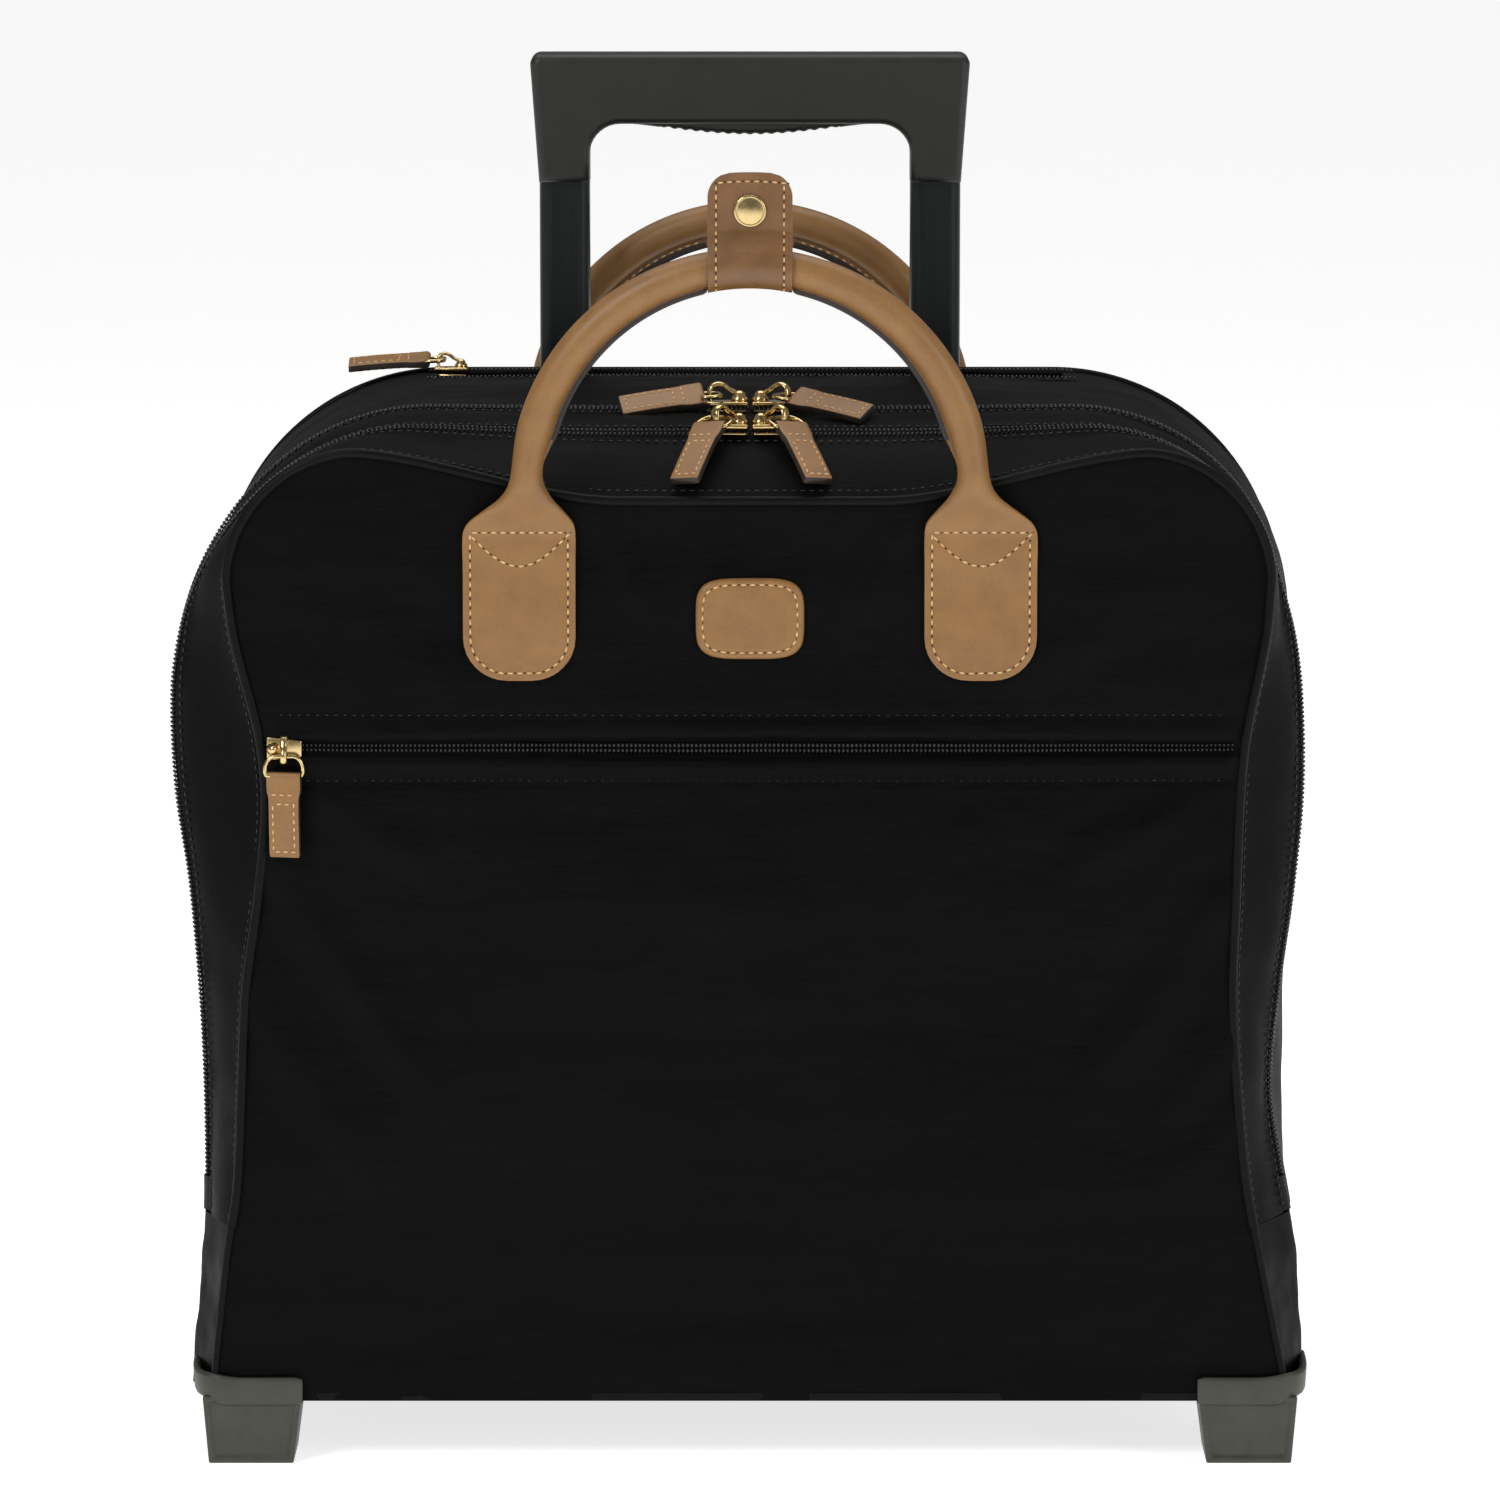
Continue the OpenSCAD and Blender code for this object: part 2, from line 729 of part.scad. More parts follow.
module wheel_housings() {
    color(olive_plastic) mirrored() difference() {
        union() {
            sideways(housing_x0, housing_x1) housing_side();
            // fixing flange under the bottom panel
            translate([housing_x0 - 12, housing_y0, ground - 4]) cube([13, back_y - housing_y0, 4]);
        }
        // wheel well, open to the back and below
        translate([cheek_in, wheel_y, wheel_r]) rotate([0, 90, 0])
            cylinder(r = wheel_r + 2.5, h = cheek_out - cheek_in);
        translate([cheek_in, wheel_y - wheel_r - 2.5, -1])
            cube([cheek_out - cheek_in, 2 * wheel_r + 30, wheel_r + 1]);
        translate([cheek_in, wheel_y, wheel_r - 1])
            cube([cheek_out - cheek_in, 60, wheel_r - 8]);
        translate([axle_x0, wheel_y, wheel_r]) rotate([0, 90, 0])
            cylinder(r = axle_r + fit, h = axle_x1 - axle_x0);
        for (p = housing_screws) translate([p[0], p[1], ground - 8]) cylinder(r = 1.8, h = 30);
    }
}

module wheel_axles() {
    color(steel) mirrored() translate([axle_x0, wheel_y, wheel_r]) rotate([0, 90, 0])
        cylinder(r = axle_r, h = axle_x1 - axle_x0);
}

// A ring round the wheel's axis, from its half section [radius, place along the axis]
module wheel_ring(side) {
    translate([side * wheel_x, wheel_y, wheel_r]) rotate([0, 90, 0])
        rotate_extrude() children();
}

module wheel_tyre(side) {
    round = 4;
    color(rubber) wheel_ring(side) difference() {
        union() {
            translate([hub_r, -wheel_w / 2]) square([wheel_r - hub_r - round, wheel_w]);
            translate([hub_r, -wheel_w / 2 + round])
                square([wheel_r - hub_r, wheel_w - 2 * round]);
            for (s = [-1, 1])
                translate([wheel_r - round, s * (wheel_w / 2 - round)]) circle(round);
        }
        square([2 * hub_r, 2 * wheel_w], center = true);
    }
}

module wheel_hub(side) {
    seat = bearing_r + fit;
    bore = axle_r + 1;
    color(olive_plastic) wheel_ring(side) {
        translate([seat, -wheel_w / 2]) square([4, wheel_w]);
        translate([bore, -wheel_w / 2 + bearing_w]) square([seat - bore + 1, wheel_w - 2 * bearing_w]);
        translate([seat + 3, -2]) square([hub_r - seat - 3, 4]);
        translate([hub_r - 3, -wheel_w / 2 + 1]) square([3 - fit, wheel_w - 2]);
    }
}

module wheel_bearings(side) {
    color(steel) wheel_ring(side) for (s = [-1, 1])
        translate([axle_r + fit, s * (wheel_w - bearing_w) / 2 - bearing_w / 2])
            square([bearing_r - axle_r - fit, bearing_w]);
}

// ---------- nodes ----------

main_gusset();
bottom_panel();
front_base_wall();
back_panel();
tube_board();
zip_row(main_out, zip2_y + gap / 2, zip2_y + zip_w / 2);  // main_zip_rear_row
rear_zip_rows();
base_board();
front_feet();
base_screws();
wheel_housings();
wheel_axles();
tubes(outer_grow, outer_tube_z, outer_top);  // outer_tubes
color(grip_plastic) tube_clamp(top_clamp_z, clamp_h, top_clamp_z - 1);  // tube_top_housing
color(grip_plastic) tube_clamp(base_z, clamp_h, outer_tube_z);  // tube_foot_bracket
bracket_rivets();
translate([0, back_y, 0]) mirror([0, 1, 0]) handle_tabs();  // rear_handle_tabs

middle_gusset();
middle_wall();
zip_row(zip1_out, zip1_y + gap / 2, zip1_y + zip_w / 2);  // front_zip_rear_row
zip_row(main_out, zip2_y - zip_w / 2, zip2_y - gap / 2);  // main_zip_front_row

front_panel();
front_gusset();
zip_row(zip1_out, zip1_y - zip_w / 2, zip1_y - gap / 2);  // front_zip_front_row
pocket_zip_rows();
name_patch();
translate([0, front_y, 0]) handle_tabs();  // front_handle_tabs

slider_at(front_left);  // front_zip_slider_left
slider_at(front_right);  // front_zip_slider_right
slider_at(main_left);  // main_zip_slider_left
slider_at(main_right);  // main_zip_slider_right
on_slot() slider(180);  // rear_zip_slider
on_pocket() slider(-90);  // pocket_zip_slider
pull_at(front_left);  // front_zip_pull_left
pull_at(front_right);  // front_zip_pull_right
pull_at(main_left);  // main_zip_pull_left
pull_at(main_right);  // main_zip_pull_right
on_slot() pull(180, 4);  // rear_zip_pull
on_pocket() pull(-90, 0);  // pocket_zip_pull

translate([0, front_y, 0]) handle();  // front_handle
wrap_strap();
snap_socket();
wrap_flap();
snap_cap();
translate([0, back_y, 0]) mirror([0, 1, 0]) handle();  // rear_handle

tubes(mid_grow, mid_tube_z, outer_top + gap);  // mid_tubes
mid_tube_collars();
tubes(0, top_tube_z, grip_z + socket_h);  // top_tubes
top_tube_shoes();
grip_body();
grip_trigger();
push_rods();
trigger_springs();

wheel_hub(-1);  // wheel_hub_left
wheel_hub(1);  // wheel_hub_right
wheel_tyre(-1);  // wheel_tyre_left
wheel_tyre(1);  // wheel_tyre_right
wheel_bearings(-1);  // wheel_bearings_left
wheel_bearings(1);  // wheel_bearings_right
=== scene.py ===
"""Looks of a pilot's rolling case: a soft black nylon case with two zipped front sections,
tan leather handles, a telescopic trolley and moulded feet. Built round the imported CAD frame."""

import math

import bmesh
import bpy
from mathutils import Matrix, Vector, noise


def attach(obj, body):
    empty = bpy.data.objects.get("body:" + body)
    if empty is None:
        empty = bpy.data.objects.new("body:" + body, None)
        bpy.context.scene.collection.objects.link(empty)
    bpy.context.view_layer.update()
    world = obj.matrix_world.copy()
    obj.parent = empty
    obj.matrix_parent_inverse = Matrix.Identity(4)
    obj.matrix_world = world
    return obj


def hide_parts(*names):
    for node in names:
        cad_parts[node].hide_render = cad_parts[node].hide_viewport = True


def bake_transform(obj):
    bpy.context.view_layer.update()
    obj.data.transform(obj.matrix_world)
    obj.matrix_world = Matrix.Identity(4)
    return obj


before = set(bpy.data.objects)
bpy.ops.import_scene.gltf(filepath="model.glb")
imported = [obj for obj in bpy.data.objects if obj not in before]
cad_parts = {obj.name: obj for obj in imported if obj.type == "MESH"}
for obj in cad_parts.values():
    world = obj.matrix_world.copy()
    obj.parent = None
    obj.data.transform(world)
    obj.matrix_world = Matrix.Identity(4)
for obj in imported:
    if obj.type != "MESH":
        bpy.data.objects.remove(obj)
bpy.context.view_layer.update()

MM = 0.001

# ---------- camera ---------------------------

view = bpy.data.objects.new("view", bpy.data.cameras.new("view"))
bpy.context.collection.objects.link(view)
view.location = (0, -2.8666, 0.6940)
view.rotation_euler = (Vector((0, 0, 0.25537)) - view.location).to_track_quat("-Z", "Y").to_euler()
view.data.sensor_width = 36
view.data.lens = 181.7
bpy.context.scene.camera = view
bpy.context.scene.view_settings.view_transform = "Standard"

# ---------- materials ----------


def linear(code):
    """An sRGB hex colour as the linear colour that a shader takes."""
    parts = [int(code[i : i + 2], 16) / 255 for i in (1, 3, 5)]
    return [c / 12.92 if c <= 0.04045 else ((c + 0.055) / 1.055) ** 2.4 for c in parts] + [1]


def add(mat, kind, inputs=(), **settings):
    """Adds a node to a material, with its settings, and its inputs as values or links."""
    made = mat.node_tree.nodes.new(kind)
    for key, value in settings.items():
        setattr(made, key, value)
    for key, value in dict(inputs).items():
        if isinstance(value, bpy.types.NodeSocket):
            mat.node_tree.links.new(value, made.inputs[key])
        else:
            made.inputs[key].default_value = value
    return made


def finish(name, dark, light, grain, rough, bump=0.3, depth=0.15, pores=None, **shader):
    """A surface whose colour runs from dark to light with its grain. grain is the grain's size
    in mm along X, Y and Z, rough its lowest and highest roughness, depth the relief in mm, and
    pores how many pores there are to a grain."""
    mat = bpy.data.materials.new(name)
    mat.use_nodes = True
    skin = mat.node_tree.nodes["Principled BSDF"]
    for key, value in shader.items():
        skin.inputs[key.replace("_", " ")].default_value = value
    where = add(mat, "ShaderNodeTexCoord").outputs["Object"]
    scale = [1 / (MM * g) for g in grain]
    where = add(mat, "ShaderNodeMapping", {"Vector": where, "Scale": scale}).outputs["Vector"]
    fine = add(mat, "ShaderNodeTexNoise", {"Vector": where, "Scale": 1.0, "Detail": 4.0, "Roughness": 0.6})
    height = fine.outputs["Fac"]
    if pores:
        cells = add(mat, "ShaderNodeTexVoronoi", {"Vector": where, "Scale": pores}, feature="DISTANCE_TO_EDGE")
        edge = add(mat, "ShaderNodeMath", {0: cells.outputs["Distance"], 1: 0.35}, operation="MINIMUM")
        height = add(mat, "ShaderNodeMath", {0: height, 1: edge.outputs[0]}, operation="ADD").outputs[0]
    broad = add(mat, "ShaderNodeTexNoise", {"Vector": where, "Scale": 0.07, "Detail": 3.0, "Roughness": 0.5})
    both = add(mat, "ShaderNodeMath", {0: fine.outputs["Fac"], 1: broad.outputs["Fac"]}, operation="ADD")
    spread = {"Value": both.outputs[0], "From Min": 0.7, "From Max": 1.3}
    tone = add(mat, "ShaderNodeMapRange", spread)
    ramp = add(mat, "ShaderNodeValToRGB", {"Fac": tone.outputs[0]})
    ramp.color_ramp.elements[0].color = linear(dark)
    ramp.color_ramp.elements[1].color = linear(light)
    gloss = add(mat, "ShaderNodeMapRange", {**spread, "To Min": rough[0], "To Max": rough[1]})
    relief = add(mat, "ShaderNodeBump", {"Height": height, "Strength": bump, "Distance": depth * MM})
    join = mat.node_tree.links.new
    join(ramp.outputs["Color"], skin.inputs["Base Color"])
    join(gloss.outputs[0], skin.inputs["Roughness"])
    join(relief.outputs["Normal"], skin.inputs["Normal"])
    return mat


# Woven nylon: slubs about 1 mm high and 12 mm long give the black cloth its fine lying lines
nylon = finish("black_woven_nylon", "#050505", "#0d0d0d", (12, 1.1, 1.1), (0.48, 0.64), 0.55, 0.25, Specular_IOR_Level=0.05)
# Nylon with a thin coat, smoother and a little shinier: piping and bindings
binding = finish("coated_nylon_binding", "#070707", "#101010", (3, 1, 1), (0.4, 0.52), 0.4, 0.15, Specular_IOR_Level=0.1)
# Polyester taffeta, grey: the lining inside
lining = finish("grey_taffeta_lining", "#2e2d2c", "#3d3b39", (5, 0.9, 0.9), (0.55, 0.7), 0.3, 0.15, Sheen_Weight=0.15)
# Herringbone zip tape, drawn at 0.9 mm
tape = finish("polyester_zip_tape", "#0a0a0a", "#161616", (0.9, 0.9, 0.9), (0.7, 0.85), 0.6, 0.2, Specular_IOR_Level=0.15)
# Nylon monofilament coil: small glossy teeth, coloured lighter than the black cloth as a painted highlight so the rows
# show
coil = finish("nylon_zip_coil", "#181818", "#2c2c2c", (1, 1, 1), (0.24, 0.36), 0.1, 0.05)
# Waxed thread
black_thread = finish("black_polyester_thread", "#161616", "#2a2a2a", (0.6, 0.6, 0.6), (0.45, 0.6), 0.3, 0.05)
gold_thread = finish("golden_waxed_thread", "#c69a5e", "#e6c48c", (0.6, 0.6, 0.6), (0.45, 0.6), 0.3, 0.05)
# Painted shade in the needle holes: small dark brown discs between the leather's stitches
needle_hole = finish("needle_hole_shadow", "#2e1b0b", "#4a2f14", (0.6, 0.6, 0.6), (0.8, 0.9), 0.1, 0.02)
# Vegetable tanned cowhide: pores of 0.7 mm, tone drifting over some 10 mm, a waxed soft gloss
hide = finish(
    "tan_cowhide",
    "#805a31",
    "#936a38",
    (0.7, 0.7, 0.7),
    (0.4, 0.55),
    0.35,
    0.12,
    pores=0.8,
    Coat_Weight=0.08,
    Coat_Roughness=0.35,
)
# A darker copy of the same cowhide for the wrap strap and the handles' seams: mostly painted shade, a little the
# strap's own deeper tone
hide_shaded = finish(
    "tan_cowhide_painted_shade",
    "#684726",
    "#7e572f",
    (0.7, 0.7, 0.7),
    (0.38, 0.52),
    0.35,
    0.12,
    pores=0.8,
    Coat_Weight=0.1,
    Coat_Roughness=0.3,
)
edge_paint = finish("painted_leather_edge", "#1d1511", "#352a22", (0.8, 0.8, 0.8), (0.5, 0.65), 0.3, 0.1)
# Polished die-cast brass, with a light haze of handling
brass = finish("pale_polished_brass", "#c9ad74", "#dfc793", (2, 2, 2), (0.14, 0.28), 0.06, 0.03, Metallic=1.0)
# ABS with a soft spark-eroded grain
grip_plastic = finish("grip_moulded_abs", "#100f0b", "#191812", (0.5, 0.5, 0.5), (0.42, 0.55), 0.25, 0.05)
foot_plastic = finish("foot_moulded_nylon", "#2e3027", "#3c3f34", (0.5, 0.5, 0.5), (0.42, 0.56), 0.3, 0.06)
# Anodised aluminium tube: drawn lines along its length
anodised = finish("black_anodised_aluminium", "#191c1d", "#25292a", (0.35, 0.35, 60), (0.28, 0.38), 0.12, 0.03, Metallic=0.75)
# Zinc-plated steel
steel = finish("zinc_plated_steel", "#8f9396", "#b9bdc0", (0.8, 0.8, 0.8), (0.25, 0.4), 0.1, 0.03, Metallic=1.0)
tyre_rubber = finish("thermoplastic_rubber", "#101010", "#1c1c1b", (0.6, 0.6, 0.6), (0.62, 0.78), 0.35, 0.08)
# Pressed polyethylene board
board = finish("stiffener_board", "#33322f", "#45433e", (1.5, 1.5, 1.5), (0.5, 0.65), 0.3, 0.1)
paper_floor = finish(
    "pale_paper_floor",
    "#f1f1f0",
    "#f6f6f5",
    (4, 4, 4),
    (0.85, 0.95),
    0.02,
    0.05,
    Emission_Color=(1, 1, 1, 1),
    Emission_Strength=0.75,
)

# ---------- floor and lights ----------


def new_piece(name, bm, mats):
    """A mesh object at the origin from a bmesh in metres."""
    mesh = bpy.data.meshes.new(name)
    bm.to_mesh(mesh)
    bm.free()
    for mat in mats:
        mesh.materials.append(mat)
    for face in mesh.polygons:
        face.use_smooth = True
    made = bpy.data.objects.new(name, mesh)
    bpy.context.collection.objects.link(made)
    return made


bm = bmesh.new()
bmesh.ops.create_grid(bm, x_segments=4, y_segments=4, size=22)
floor = new_piece("floor", bm, [paper_floor])


def softbox(name, place, target, size, power):
    lamp = bpy.data.objects.new(name, bpy.data.lights.new(name, "AREA"))
    lamp.data.shape = "RECTANGLE"
    lamp.data.size, lamp.data.size_y = size
    lamp.data.energy = power
    lamp.location = place
    lamp.rotation_euler = (Vector(target) - Vector(place)).to_track_quat("-Z", "Y").to_euler()
    bpy.context.collection.objects.link(lamp)


softbox("key", (-1.5, -2.0, 2.1), (0, 0, 0.25), (1.0, 1.0), 35)
softbox("fill", (2.0, -1.6, 1.2), (0, 0, 0.25), (0.9, 1.4), 17)
softbox("top", (0, 0.5, 2.4), (0, 0, 0.2), (2.2, 1.6), 25)
world = bpy.data.worlds.new("white_room")
bpy.context.scene.world = world
world.use_nodes = True
world.node_tree.nodes["Background"].inputs["Color"].default_value = (1, 1, 1, 1)
world.node_tree.nodes["Background"].inputs["Strength"].default_value = 0.2

# ---------- making pieces ----------

CASE_MID = Vector((0, 0, 0.2))


def settle(piece, body, stands_for=()):
    """Puts a finished piece on its body, in place of CAD nodes."""
    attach(piece, body)
    if stands_for:
        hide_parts(*stands_for)
    return piece


def woven(name, cols, rows, place, mats, size=(1, 1), shut=False, edge_test=None, cut=None):
    """A grid of cloth or leather whose points place(u, v) puts where they go, in mm.
    shut joins its first and last columns. size is its real width and height, for its own UV map.
    edge_test says which faces take the second material, and cut changes the open mesh."""
    bm = bmesh.new()
    bmesh.ops.create_grid(bm, x_segments=cols, y_segments=rows, size=0.5)
    low = [min(v.co[i] for v in bm.verts) for i in (0, 1)]
    high = [max(v.co[i] for v in bm.verts) for i in (0, 1)]
    chart = bm.loops.layers.uv.new("UVMap")
    spot = {v: [(v.co[i] - low[i]) / (high[i] - low[i]) for i in (0, 1)] for v in bm.verts}
    for face in bm.faces:
        for loop in face.loops:
            u, v = spot[loop.vert]
            loop[chart].uv = (u * size[0] * MM, v * size[1] * MM)
    for v, (a, b) in spot.items():
        v.co = Vector(place(a, b)) * MM
    if cut:
        cut(bm)
    if shut:
        bmesh.ops.remove_doubles(bm, verts=bm.verts, dist=0.004 * MM)
        bmesh.ops.recalc_face_normals(bm, faces=bm.faces)
    else:
        bm.normal_update()
        if sum(f.normal.dot(f.calc_center_median() - CASE_MID) * f.calc_area() for f in bm.faces) < 0:
            bmesh.ops.reverse_faces(bm, faces=bm.faces)
        for edge in bm.edges:
            edge.smooth = not edge.is_boundary
    bm.normal_update()
    if edge_test:
        for face in bm.faces:
            if edge_test(face.calc_center_median() / MM, face.normal):
                face.material_index = 1
    return new_piece(name, bm, mats)


def thicken(piece, thick, lined=False, offset=-1.0):
    """Gives an open sheet its real thickness, with its lining as second material."""
    wall = piece.modifiers.new("thickness", "SOLIDIFY")
    wall.thickness = thick * MM
    wall.offset = offset
    wall.material_offset = 1 if lined else 0
    return piece


def soften(piece, width, segments=2, angle=35):
    """Rounds the sharp edges of a rigid piece."""
    round_off = piece.modifiers.new("rounded_edges", "BEVEL")
    round_off.width = width * MM
    round_off.segments = segments
    round_off.limit_method = "ANGLE"
    round_off.angle_limit = math.radians(angle)
    round_off.harden_normals = True
    return piece


def spaced(path, pitch):
    """Places along a line of points, a pitch apart, each with the line's direction."""
    spots, left = [], pitch / 2
    for a, b in zip(path, path[1:]):
        step = (b - a).length
        if step < 1e-6:
            continue
        way = (b - a) / step
        while left <= step:
            spots.append((a + way * left, way))
            left += pitch
        left -= step
    return spots


def beads(name, spots, size, mats, body, stands_for=(), turn=0.0):
    """One small rounded form at each (place, direction, out) spot; size is its half length,
    half width and half height in mm."""
    bm = bmesh.new()
    for place, way, out in spots:
        out = (out - way * out.dot(way)).normalized()
        side = out.cross(way)
        if turn:
            c, s = math.cos(turn), math.sin(turn)
            way, side = way * c + side * s, side * c - way * s
        axes = Matrix([way, side, out]).transposed().to_4x4()
        grow = Matrix.Diagonal(Vector((size[0], size[1], size[2], 1)) * MM)
        grow[3][3] = 1
        stand = Matrix.Translation(place * MM) @ axes @ grow
        bmesh.ops.create_icosphere(bm, subdivisions=1, radius=1.0, matrix=stand)
    return settle(new_piece(name, bm, mats), body, stands_for)


def stitches(name, lines, body, thread, pitch=3.5, length=2.5, width=0.4, holes=None, lift=0.1):
    """Sewn lines: each is its points and the direction that it faces. On leather, small dark
    discs between stitches paint the shade in each needle hole."""
    marks, dark = [], []
    for path, out in lines:
        for place, way in spaced(path, pitch):
            face = out(place) if callable(out) else out
            marks.append((place + face * lift, way, face))
            if holes:
                dark.append((place + way * pitch / 2 + face * 0.02, way, face))
    beads(name, marks, (length / 2, width, 0.32), [thread], body)
    if dark:
        beads(name + "_holes", dark, (0.5, 0.42, 0.1), [holes], body)


def wire(name, points, radius, mats, closed=False):
    """A round cord or wire through points in mm."""
    line = bpy.data.curves.new(name, "CURVE")
    line.dimensions = "3D"
    line.bevel_depth = radius * MM
    line.bevel_resolution = 3
    line.use_fill_caps = True
    spline = line.splines.new("POLY")
    spline.points.add(len(points) - 1)
    for knot, point in zip(spline.points, points):
        knot.co = (*(point * MM), 1)
    spline.use_cyclic_u = closed
    spline.use_smooth = True
    for mat in mats:
        line.materials.append(mat)
    made = bpy.data.objects.new(name, line)
    bpy.context.collection.objects.link(made)
    return made


def turned(bm, profile, base, axis, steps=48):
    """Spins a profile of (radius, height) pairs in mm round an axis through base."""
    axis = Vector(axis).normalized()
    side = axis.orthogonal().normalized()
    base = Vector(base)
    knots = [bm.verts.new((base + side * r + axis * h) * MM) for r, h in profile]
    line = [bm.edges.new(pair) for pair in zip(knots, knots[1:])]
    old = set(bm.faces)
    bmesh.ops.spin(bm, geom=knots + line, cent=base * MM, axis=axis, angle=math.tau, steps=steps, use_merge=True)
    made = [f for f in bm.faces if f not in old]
    bmesh.ops.remove_doubles(bm, verts=list({v for f in made for v in f.verts}), dist=0.003 * MM)
    made = [f for f in bm.faces if f not in old]
    bmesh.ops.recalc_face_normals(bm, faces=made)


def round_edges(bm, edges, width, segments):
    """Rounds edges of a mesh that is being made, and gives the new faces."""
    return bmesh.ops.bevel(
        bm,
        geom=edges,
        offset=width * MM,
        segments=segments,
        profile=0.5,
        affect="EDGES",
        material=-1,
        clamp_overlap=True,
    )["faces"]


def cut_out(bm, planes, inside):
    """Cuts a sheet along planes, each a point in mm and a direction, and drops what is inside."""
    for co, no in planes:
        whole = bm.verts[:] + bm.edges[:] + bm.faces[:]
        bmesh.ops.bisect_plane(bm, geom=whole, plane_co=Vector(co) * MM, plane_no=no, dist=1e-6)
    gone = [f for f in bm.faces if inside(f.calc_center_median() / MM)]
    bmesh.ops.delete(bm, geom=gone, context="FACES")


def block(bm, low, high, change=None, bevel=0.0, segments=2, matrix=None):
    """A box between two corners in mm, its corners shifted by change(point), edges rounded."""
    low, high = Vector(low), Vector(high)
    size = high - low
    place = Matrix.Translation((low + high) / 2 * MM) @ Matrix.Diagonal((*(size * MM), 1))
    verts = bmesh.ops.create_cube(bm, size=1.0, matrix=place)["verts"]
    if change:
        for v in verts:
            v.co = Vector(change(v.co / MM)) * MM
    faces = list({f for v in verts for f in v.link_faces})
    if bevel:
        edges = list({e for v in verts for e in v.link_edges})
        made = round_edges(bm, edges, bevel, segments)
        faces = list(set(made) | {f for f in faces if f.is_valid})
    if matrix is not None:
        bmesh.ops.transform(bm, matrix=matrix, verts=list({v for f in faces for v in f.verts}))


def dress(nodes, mat):
    """Gives CAD nodes that stay their finish."""
    for name in nodes:
        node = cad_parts[name]
        node.data.materials.clear()
        node.data.materials.append(mat)


def along(points, t):
    """The point and the direction t steps along a smooth line through a few 2-D points."""
    lines = [[(i, p[axis]) for i, p in enumerate(points)] for axis in (0, 1)]
    spot, ahead, behind = (Vector([curve(line, t + d) for line in lines]) for d in (0, 0.05, -0.05))
    return spot, (ahead - behind).normalized()


def curve(points, x):
    """A smooth line through a few (place, value) pairs."""
    if x <= points[0][0]:
        return points[0][1]
    for i, ((x0, y0), (x1, y1)) in enumerate(zip(points, points[1:])):
        if x <= x1:
            xa, ya = points[max(i - 1, 0)]
            xb, yb = points[min(i + 2, len(points) - 1)]
            h, t = x1 - x0, (x - x0) / (x1 - x0)
            m0, m1 = (y1 - ya) / (x1 - xa) * h, (yb - y0) / (xb - x0) * h
            starts = (2 * t**3 - 3 * t**2 + 1) * y0 + (t**3 - 2 * t**2 + t) * m0
            return starts + (3 * t**2 - 2 * t**3) * y1 + (t**3 - t**2) * m1
    return points[-1][1]


def ease(t):
    """Rises smoothly from 0 to 1 as t does, and is level beyond."""
    t = min(max(t, 0.0), 1.0)
    return t * t * (3 - 2 * t)


def squarish(a, power):
    """Cosine and sine of an angle on a circle drawn out towards a square by a power below 1."""
    c, s = math.cos(a), math.sin(a)
    return math.copysign(abs(c) ** power, c), math.copysign(abs(s) ** power, s)


# ---------- the case's outline ----------

FRONT, ZIP1, ZIP2, BACK = -100.0, -69.0, -37.0, 100.0
FOLD = 90.15  # the front sections fold down about this height
FOOT = 24.2  # lower edge of the cloth

HALF, TOP, SHOULDER = 207, 391, 88  # half width, top and shoulder radius behind the zips
FRONT_TOP = 381

# Stations from front to back: half width, top and shoulder radius of the cloth
STATIONS = [
    (FRONT, (193, FRONT_TOP, 50)),
    (ZIP1, (206, 387, 84)),
    (ZIP2, (HALF, TOP, SHOULDER)),
    (BACK, (HALF, TOP, SHOULDER)),
]
# How far the cloth stands out from that at a height, on the case's left (-1) and right (1)
SEAM_SET = {
    -1: [(24, 8), (79, 2), (105, -2), (142, -4), (180, -6), (216, -11), (250, -14), (275, -12), (312, -3), (335, 0)],
    1: [(24, 8), (79, -3), (105, -8), (142, -12), (180, -14), (216, -13), (250, -12), (275, -10), (312, -3), (335, -1)],
}
ZIP_SET = {
    -1: [(24, 4), (84, -1), (106, -2), (160, -1), (215, 3), (252, 8), (289, 9), (312, 6), (350, 2), (391, 0)],
    1: [(24, 2), (76, -1), (104, -6), (138, -11), (177, -8), (215, -3), (252, 0), (289, -1), (327, -5), (391, 0)],
}


def between(stations, y):
    """The three sizes of the cloth's outline at a depth y."""
    for (y0, a), (y1, b) in zip(stations, stations[1:]):
        if y <= y1:
            t = (y - y0) / (y1 - y0)
            return [p + (q - p) * t for p, q in zip(a, b)]
    return stations[-1][1]


def set_out(y, side, z):
    """How far the cloth's side stands out at a depth and height; nothing towards the back."""
    near = ease((y - FRONT) / (ZIP1 - FRONT))
    far = 1 - ease((y + 30) / 75)
    return (curve(SEAM_SET[side], z) * (1 - near) + curve(ZIP_SET[side], z) * near) * far


def dip(y, x):
    """How far the top sinks between the shoulders: most at the front seam, where the pulls lie."""
    deep = curve([(FRONT, 18), (ZIP1, 2.5), (ZIP2, 1), (0, -2.5), (50, -1.5), (BACK, 0)], y)
    return deep * ease((152 - abs(x)) / 105)


def rim(y, k, foot=FOOT):
    """A point on the case's side and top: k runs 0-1 up the left side, 1-2 round the shoulder,
    2-3 over the top, and down the right side to 5."""
    half, top, radius = between(STATIONS, y)
    side = -1 if k < 2.5 else 1
    m = k if k < 2.5 else 5 - k
    if m < 1:
        x, z, out = half, foot + m * (top - radius - foot), 1
    elif m < 2:
        a = (m - 1) * math.pi / 2
        x, z, out = half - radius + radius * math.cos(a), top - radius + radius * math.sin(a), math.cos(a)
    else:
        x, z, out = (half - radius) * (1 - (m - 2) / 0.5), top, 0
    x += set_out(y, side, z) * out
    return Vector((side * x, y, z - (dip(y, x) if m > 1 else 0) * (1 - out)))


